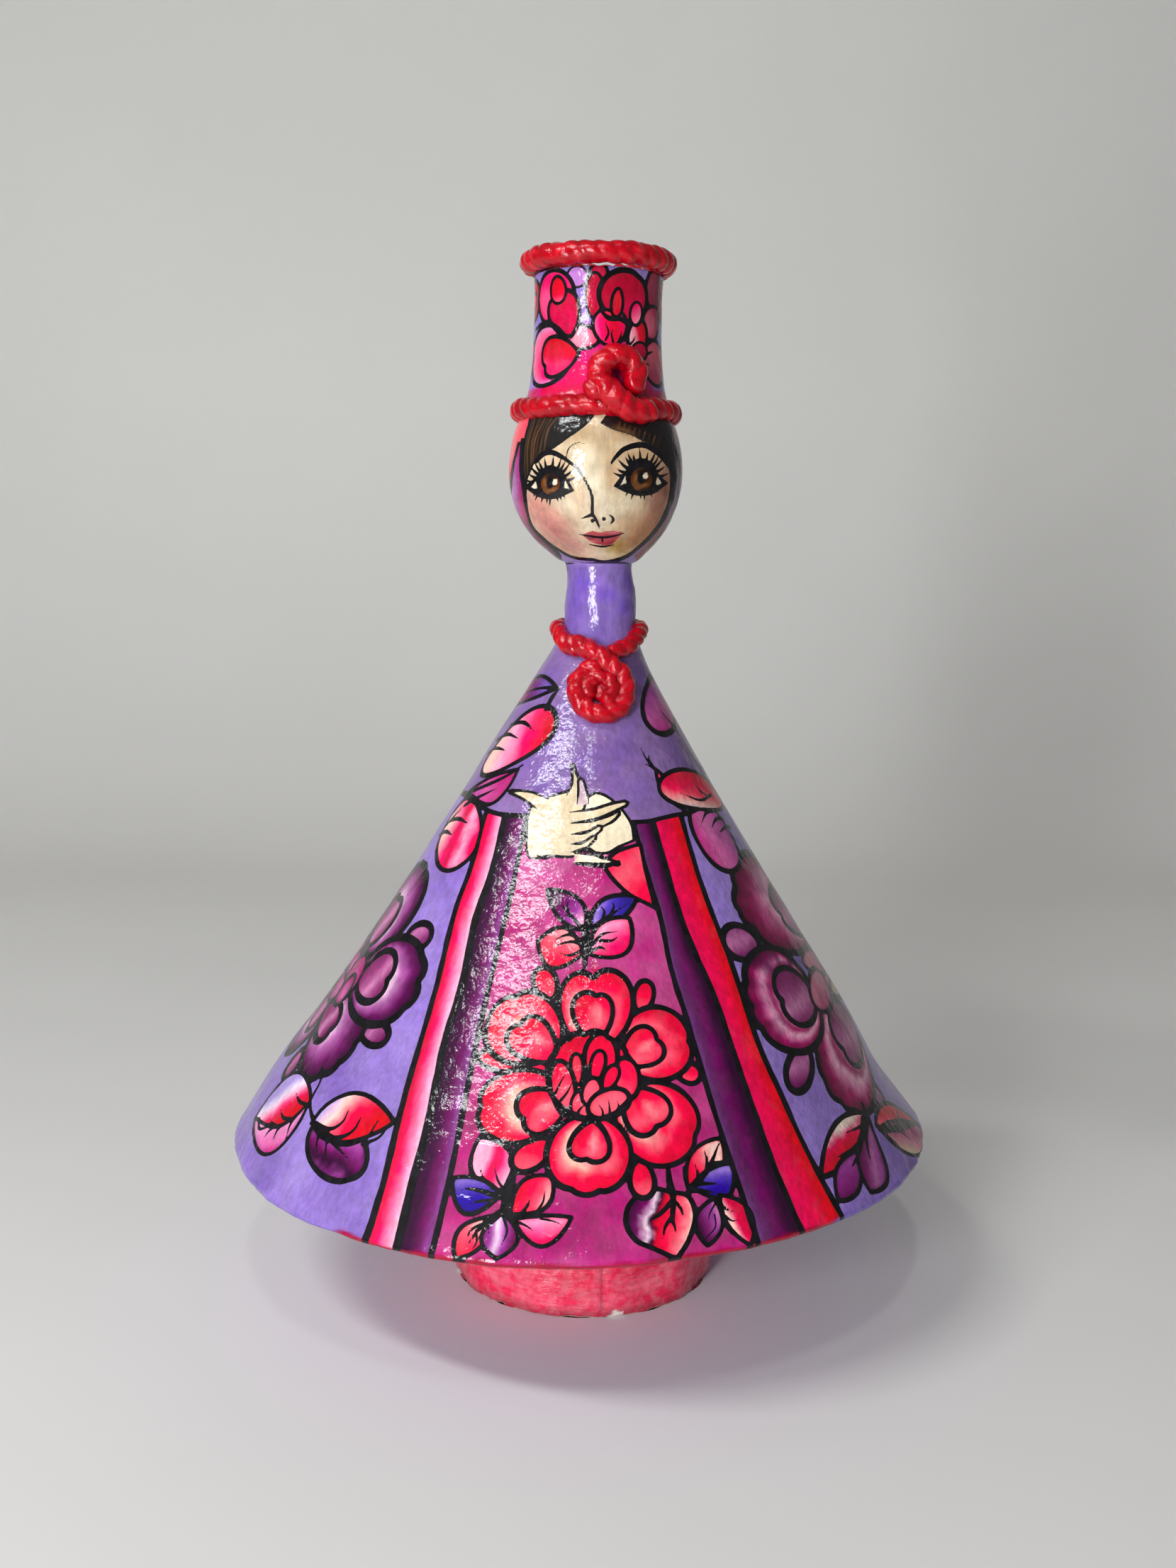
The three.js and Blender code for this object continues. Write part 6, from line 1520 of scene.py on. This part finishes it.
def build_rim_rope():
    v, f = cord(ring(23.0, 359.5, 72, 0.12, 0.15), 3.66, 4.9, side_deep(0.13, 0.26), 3, closed=True, around=36, step=0.45, lumps=0.08)
    ob = merge("rim_cord", [(v, f)])
    paint_cord(ob, 3)
    return ob


def build_band_rope():
    r = 4.15
    def hat_point(phi, z, out=0.0):
        a = math.radians(phi)
        rr = max(float(hat_r(max(z, 316))), 23) + r - 0.35 + out
        return (math.sin(a) * rr, -math.cos(a) * rr, z)
    loop = []
    for i in range(15):
        a = math.radians(-112 - 316 * i / 14)
        loop.append(hat_point(14.6 + math.degrees(5.3 * 1.12 * math.cos(a) / 26), 320.4 + 5.2 * math.sin(a), 0.15))
    cross = [hat_point(-7, 312.5, 0.2), hat_point(3, 316.0, 1.6), hat_point(11, 312.8, 2.5), hat_point(20, 309.0, 2.3), hat_point(31, 308.2, 1.2), hat_point(43, 309.2, 0.2)]
    parts = [cord(ring(26.0, 309.9, 72, 0.2, 0.15, 1), 3.55, 4.9, side_deep(0.15, 0.30), 5, closed=True, around=34, lumps=0.08),
             cord(loop, r, 4.6, 0.15, 6, around=30, lumps=0.11), cord(cross, r, 4.8, 0.15, 7, around=30, lumps=0.11)]
    ob = fuse(merge("hat_cord", parts), 0.30, 1)
    paint_cord(ob, 5)
    return ob


def build_necklace():
    collar = []
    for i in range(21):
        phi = 22 + 320 * i / 20
        front = max(0.0, 1 - abs(phi - 180) / 158)
        z = 234.6 - (1 - float(smooth(front * 2.6))) * 6.0 + 1.2 * float(smooth(front))
        a = math.radians(phi)
        rr = max(14.2, float(body_radius(z)) + 1.55)
        collar.append((math.sin(a) * rr + float(axis_offset(z)), -math.cos(a) * rr, z))
    def coil(angle, radius, lift):
        a = math.radians(angle)
        z = 215.6 + radius * 1.06 * math.sin(a) * 0.86
        base = float(body_radius(z)) + lift
        return on_body(5.5 + math.degrees(radius * math.cos(a) / base), z, lift)
    collar = [on_body(-6, 222.6, 1.4), on_body(7, 225.4, 1.6)] + collar      # tucked under the crossing strand
    outer = [on_body(-42, 231.6, 1.7), on_body(-20, 229.9, 2.4), on_body(2, 227.0, 3.4)] + [coil(62 - 346 * i / 18, 8.8 - 0.5 * i / 18, 2.7 - 0.9 * i / 18) for i in range(19)]
    inner = [coil(230 - 330 * i / 12, 4.6 - 0.7 * i / 12, 1.9 + 0.9 * i / 12) for i in range(13)]      # curls round a small dark hole
    pad = [coil(90, 5.0, -0.3), coil(0, 0.2, -0.2), coil(-90, 5.0, -0.3)]
    parts = [cord(collar, 2.95, 4.6, 0.22, 11, around=30, lumps=0.08), cord(outer, 3.4, 4.8, 0.22, 12, around=30, lumps=0.10),
             cord(inner, 2.75, 4.2, 0.22, 13, around=26, lumps=0.14), cord(pad, 2.4, 5.0, 0.03, 14, around=20, lumps=0.05)]
    ob = fuse(merge("neck_cord", parts), 0.27, 1)
    paint_cord(ob, 9)
    return ob

# ------------------------------------------------------------------ materials
def nodes_of(name):
    m = bpy.data.materials.new(name)
    m.use_nodes = True
    t = m.node_tree
    t.nodes.clear()
    out = t.nodes.new("ShaderNodeOutputMaterial")
    b = t.nodes.new("ShaderNodeBsdfPrincipled")
    t.links.new(b.outputs["BSDF"], out.inputs["Surface"])
    return m, t, b


def node(t, kind, **kw):
    n = t.nodes.new(kind)
    for k, v in kw.items():
        if k.startswith("_"):
            n.inputs[k[1:]].default_value = v
        else:
            setattr(n, k, v)
    return n


def math_node(t, op, a, b=None, clamp=False):
    n = t.nodes.new("ShaderNodeMath")
    n.operation, n.use_clamp = op, clamp
    for i, v in enumerate((a, b)):
        if v is None:
            continue
        if isinstance(v, (int, float)):
            n.inputs[i].default_value = v
        else:
            t.links.new(v, n.inputs[i])
    return n.outputs[0]


def ramp(t, src, lo, hi, a=0.0, b=1.0):
    n = node(t, "ShaderNodeMapRange", interpolation_type="SMOOTHSTEP")
    t.links.new(src, n.inputs["Value"])
    n.inputs["From Min"].default_value, n.inputs["From Max"].default_value = lo, hi
    n.inputs["To Min"].default_value, n.inputs["To Max"].default_value = a, b
    return n.outputs["Result"]


def noise(t, vec, scale, detail=3.0, rough=0.5, kind="Fac", distort=0.0):
    n = node(t, "ShaderNodeTexNoise", noise_dimensions="3D")
    n.inputs["Scale"].default_value, n.inputs["Detail"].default_value, n.inputs["Roughness"].default_value = scale, detail, rough
    n.inputs["Distortion"].default_value = distort
    t.links.new(vec, n.inputs["Vector"])
    return n.outputs[kind]


def mix_rgb(t, fac, a, b, blend="MIX"):
    n = node(t, "ShaderNodeMix", data_type="RGBA", blend_type=blend)
    n.clamp_factor = True
    for s, v in ((n.inputs[0], fac), (n.inputs[6], a), (n.inputs[7], b)):
        if isinstance(v, (int, float)):
            s.default_value = v
        elif isinstance(v, tuple):
            s.default_value = (*v, 1.0)
        else:
            t.links.new(v, s)
    return n.outputs[2]


def attribute(t, name, out="Fac"):
    n = node(t, "ShaderNodeAttribute", attribute_type="GEOMETRY", attribute_name=name)
    return n.outputs[out]


def lin(*c):
    return tuple(float(v) for v in to_linear(np.array(c, float) / 255))


def painted_paper(name, gloss=1.0, inside=False):
    """Paint on papier-mache under thick, uneven varnish: black brush lines with a dry edge, streaks
    left by the brush, fine dents that break up the shine."""
    m, t, b = nodes_of(name)
    co = node(t, "ShaderNodeTexCoord").outputs["Object"]
    paint = attribute(t, "paint", "Color")
    ink = attribute(t, "ink")
    fine, mid, big = noise(t, co, 900, 4, 0.6), noise(t, co, 240, 3, 0.55), noise(t, co, 55, 3, 0.5)
    # brush streaks: noise drawn out along the height
    st = node(t, "ShaderNodeMapping")
    st.inputs["Scale"].default_value = (1.0, 1.0, 0.22)
    t.links.new(co, st.inputs["Vector"])
    streak = noise(t, st.outputs["Vector"], 620, 3, 0.6)
    v = math_node(t, "ADD", ramp(t, mid, 0.25, 0.75, 0.88, 1.10), ramp(t, streak, 0.3, 0.7, -0.10, 0.10))
    v = math_node(t, "MULTIPLY", v, ramp(t, big, 0.3, 0.7, 0.93, 1.06))
    tone = node(t, "ShaderNodeHueSaturation")
    t.links.new(paint, tone.inputs["Color"])
    t.links.new(v, tone.inputs["Value"])
    t.links.new(ramp(t, noise(t, co, 120, 2, 0.5), 0.3, 0.7, 0.985, 1.06), tone.inputs["Saturation"])
    # ink lines: the edge wanders a little and goes dry in places
    e = math_node(t, "ADD", ink, math_node(t, "MULTIPLY", math_node(t, "SUBTRACT", mid, 0.5), 0.34))
    e = math_node(t, "ADD", e, math_node(t, "MULTIPLY", math_node(t, "SUBTRACT", fine, 0.5), 0.22))
    mask = ramp(t, e, -0.06, 0.08)
    thin = math_node(t, "MULTIPLY", ramp(t, noise(t, st.outputs["Vector"], 1500, 4, 0.7), 0.62, 0.76), ramp(t, big, 0.56, 0.68, 0.0, 0.3))
    mask = math_node(t, "MULTIPLY", mask, math_node(t, "SUBTRACT", 1.0, thin), clamp=True)
    col = mix_rgb(t, mask, tone.outputs["Color"], mix_rgb(t, ramp(t, mid, 0.35, 0.7), lin(8, 7, 10), lin(22, 20, 26)))
    if inside:
        ins = attribute(t, "inside")
        col = mix_rgb(t, math_node(t, "MULTIPLY", ins, 0.35), col, mix_rgb(t, ramp(t, streak, 0.35, 0.65), lin(120, 100, 92), lin(176, 156, 140)))
    t.links.new(col, b.inputs["Base Color"])
    t.links.new(ramp(t, mid, 0.3, 0.7, 0.34, 0.52), b.inputs["Roughness"])
    b.inputs["Specular IOR Level"].default_value = 0.05
    b.inputs["Coat Weight"].default_value = 0.64 * gloss
    b.inputs["Coat Roughness"].default_value = 0.07
    b.inputs["Coat IOR"].default_value = 1.55
    h = math_node(t, "ADD", math_node(t, "MULTIPLY", noise(t, co, 160, 4, 0.62), 1.0), math_node(t, "MULTIPLY", fine, 0.16))
    h = math_node(t, "ADD", h, math_node(t, "MULTIPLY", streak, 0.12))
    h = math_node(t, "ADD", h, math_node(t, "MULTIPLY", mask, 0.10))
    bump = node(t, "ShaderNodeBump")
    bump.inputs["Strength"].default_value, bump.inputs["Distance"].default_value = 0.55, 0.0011
    t.links.new(h, bump.inputs["Height"])
    t.links.new(bump.outputs["Normal"], b.inputs["Normal"])
    vh = math_node(t, "ADD", math_node(t, "ADD", noise(t, co, 130, 3, 0.6), math_node(t, "MULTIPLY", noise(t, co, 60, 2, 0.5), 1.2)), math_node(t, "MULTIPLY", noise(t, co, 380, 4, 0.6), 0.30))
    vb = node(t, "ShaderNodeBump")
    vb.inputs["Strength"].default_value, vb.inputs["Distance"].default_value = 0.5, 0.0011
    t.links.new(vh, vb.inputs["Height"])
    t.links.new(vb.outputs["Normal"], b.inputs["Coat Normal"])
    return m


def cord_paint(name):
    m, t, b = nodes_of(name)
    co = node(t, "ShaderNodeTexCoord").outputs["Object"]
    paint = attribute(t, "paint", "Color")
    mid, fine = noise(t, co, 420, 4, 0.6), noise(t, co, 1500, 3, 0.6)
    tone = node(t, "ShaderNodeHueSaturation")
    t.links.new(paint, tone.inputs["Color"])
    t.links.new(ramp(t, mid, 0.25, 0.75, 0.80, 1.16), tone.inputs["Value"])
    col = mix_rgb(t, ramp(t, fine, 0.62, 0.74, 0.0, 0.3), tone.outputs["Color"], lin(120, 0, 26))
    t.links.new(col, b.inputs["Base Color"])
    b.inputs["Roughness"].default_value = 0.42
    b.inputs["Coat Weight"].default_value = 1.0
    b.inputs["Coat Roughness"].default_value = 0.05
    b.inputs["Coat IOR"].default_value = 1.45
    b.inputs["Specular IOR Level"].default_value = 0.0
    b.inputs["Subsurface Weight"].default_value = 0.0
    h = math_node(t, "ADD", noise(t, co, 360, 4, 0.6), math_node(t, "MULTIPLY", fine, 0.25))
    bump = node(t, "ShaderNodeBump")
    bump.inputs["Strength"].default_value, bump.inputs["Distance"].default_value = 0.5, 0.0007
    t.links.new(h, bump.inputs["Height"])
    t.links.new(bump.outputs["Normal"], b.inputs["Normal"])
    t.links.new(bump.outputs["Normal"], b.inputs["Coat Normal"])
    return m


def foot_paint(name):
    m, t, b = nodes_of(name)
    co = node(t, "ShaderNodeTexCoord").outputs["Object"]
    paint = attribute(t, "paint", "Color")
    st = node(t, "ShaderNodeMapping")
    st.inputs["Scale"].default_value = (0.5, 0.5, 3.0)
    t.links.new(co, st.inputs["Vector"])
    streak, mid, fine = noise(t, st.outputs["Vector"], 300, 4, 0.6), noise(t, co, 260, 4, 0.6), noise(t, co, 1300, 3, 0.6)
    tone = node(t, "ShaderNodeHueSaturation")
    t.links.new(paint, tone.inputs["Color"])
    t.links.new(math_node(t, "ADD", ramp(t, streak, 0.3, 0.7, 0.86, 1.12), ramp(t, fine, 0.3, 0.7, -0.05, 0.05)), tone.inputs["Value"])
    t.links.new(ramp(t, mid, 0.3, 0.7, 0.88, 1.05), tone.inputs["Saturation"])
    t.links.new(tone.outputs["Color"], b.inputs["Base Color"])
    rough = math_node(t, "MAXIMUM", attribute(t, "card"), attribute(t, "chip"))
    t.links.new(math_node(t, "ADD", ramp(t, mid, 0.3, 0.7, 0.34, 0.5), math_node(t, "MULTIPLY", rough, 0.4)), b.inputs["Roughness"])
    b.inputs["Coat Weight"].default_value = 0.55
    b.inputs["Coat Roughness"].default_value = 0.22
    h = math_node(t, "ADD", math_node(t, "MULTIPLY", streak, 0.6), math_node(t, "MULTIPLY", mid, 0.7))
    h = math_node(t, "SUBTRACT", h, math_node(t, "MULTIPLY", attribute(t, "chip"), 0.6))
    bump = node(t, "ShaderNodeBump")
    bump.inputs["Strength"].default_value, bump.inputs["Distance"].default_value = 0.6, 0.0009
    t.links.new(h, bump.inputs["Height"])
    t.links.new(bump.outputs["Normal"], b.inputs["Normal"])
    t.links.new(bump.outputs["Normal"], b.inputs["Coat Normal"])
    return m


# ------------------------------------------------------------------ put together
paper, paper_hat, cords, foot_look = painted_paper("varnished_paint"), painted_paper("varnished_paint_hat", inside=True), cord_paint("red_cord_paint"), foot_paint("foot_card_paint")
pieces = []
for maker, node_name, look, slot in ((build_skirt, "figure_body", paper, "painted_skin"), (build_head, "figure_body", paper, "painted_skin"), (build_hat, "figure_body", paper_hat, "painted_skin"),
                                     (build_foot, "foot_drum", foot_look, "crimson_foot"), (build_rim_rope, "hat_rim_rope", cords, "red_cord"),
                                     (build_band_rope, "hat_band_rope", cords, "red_cord"), (build_necklace, "necklace_rope", cords, "red_cord")):
    made = maker()
    for ob in made if isinstance(made, list) else [made]:
        ob.data.materials.clear()
        ob.data.materials.append(look)
        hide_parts(node_name)
        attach(ob, "root")
        tris = sum(len(p.vertices) - 2 for p in ob.data.polygons)
        print("piece", ob.name, len(ob.data.vertices), "vertices", tris, "triangles")
        pieces.append(ob)
for ob in list(bpy.data.objects):                        # the hidden CAD nodes carry the same finish
    if ob.type == "MESH" and ob not in pieces and ob.name in frame["nodes"]:
        look = {"figure_body": paper, "foot_drum": foot_look}.get(ob.name, cords)
        for s in ob.material_slots:
            s.material = look

# ------------------------------------------------------------------ floor, light, camera
def plain(name, colour, rough):
    m, t, b = nodes_of(name)
    co = node(t, "ShaderNodeTexCoord").outputs["Object"]
    n = noise(t, co, 3.0, 3, 0.5)
    t.links.new(mix_rgb(t, ramp(t, n, 0.3, 0.7), lin(*colour), lin(*[c * 0.985 for c in colour])), b.inputs["Base Color"])
    b.inputs["Roughness"].default_value = rough
    b.inputs["Specular IOR Level"].default_value = 0.2
    return m


def sweep_floor():
    """A pale floor that runs up into a backdrop behind the object."""
    prof = [(-1500, 0.0), (700, 0.0)]
    for k in range(1, 13):
        a = math.radians(90 * k / 12)
        prof.append((700 + 420 * math.sin(a), 420 * (1 - math.cos(a))))
    prof.append((1120, 1150))
    V, F = [], []
    for i, x in enumerate((-1000, 1000)):
        V += [(x, y, z - 0.0) for y, z in prof]
    n = len(prof)
    F = [[k, n + k, n + k + 1, k + 1] for k in range(n - 1)]
    ob = make_object("stage_floor", V, F)
    ob.data.materials.append(plain("stage_paper", (238, 237, 234), 0.75))
    return ob


sweep_floor()


def panel(name, az, el, dist, width, height, watts, colour, tilt=0.0, aim=(0, 0, 200)):
    """An area light seen from the object at azimuth az (0 towards the camera, + to its right)."""
    from mathutils import Vector, Matrix
    a, e = math.radians(az), math.radians(el)
    d = Vector((math.sin(a) * math.cos(e), -math.cos(a) * math.cos(e), math.sin(e)))
    li = bpy.data.lights.new(name, "AREA")
    li.shape, li.size, li.size_y, li.energy, li.color = "RECTANGLE", width * MM, height * MM, watts, colour
    ob = bpy.data.objects.new(name, li)
    bpy.context.scene.collection.objects.link(ob)
    rot = d.to_track_quat("Z", "Y").to_matrix().to_4x4()
    ob.matrix_world = Matrix.Translation((Vector(aim) + d * dist) * MM) @ rot @ Matrix.Rotation(math.radians(tilt), 4, "Z")
    return ob


panel("window_strip", -24, 5, 1300, 250, 620, 13.5, (0.97, 0.99, 1.0))
panel("window_high", -49, 46, 1300, 580, 95, 6.6, (0.98, 0.99, 1.0), tilt=15)
panel("window_top", -3, 54, 1300, 60, 130, 1.3, (0.98, 0.99, 1.0))
panel("soft_fill", -55, 45, 2000, 2200, 2200, 3.7, (1.0, 0.985, 0.965))

world = bpy.data.worlds.new("studio")
world.use_nodes = True
bg = world.node_tree.nodes["Background"]
bg.inputs["Color"].default_value = (0.84, 0.83, 0.82, 1.0)
bg.inputs["Strength"].default_value = 0.17
bpy.context.scene.world = world
bpy.context.scene.view_settings.view_transform = "Standard"
bpy.context.scene.view_settings.look = "None"

CAM_AT, PITCH, ROLL, FOCAL_PX, LONG_SIDE = (-0.788, -562.975, 260.752), 8.205932881571606, 0.9234964343613772, 2237.0, 2212.0
from mathutils import Matrix
cam = bpy.data.cameras.new("camera")
cam.sensor_fit, cam.sensor_height, cam.sensor_width = "VERTICAL", 36.0, 36.0
cam.lens = 36.0 * FOCAL_PX / LONG_SIDE
cam.clip_start, cam.clip_end = 0.01, 20.0
camera = bpy.data.objects.new("camera", cam)
bpy.context.scene.collection.objects.link(camera)
camera.matrix_world = (Matrix.Translation([c * MM for c in CAM_AT]) @ Matrix.Rotation(math.radians(90 - PITCH), 4, "X")
                       @ Matrix.Rotation(math.radians(ROLL), 4, "Z"))
bpy.context.scene.camera = camera
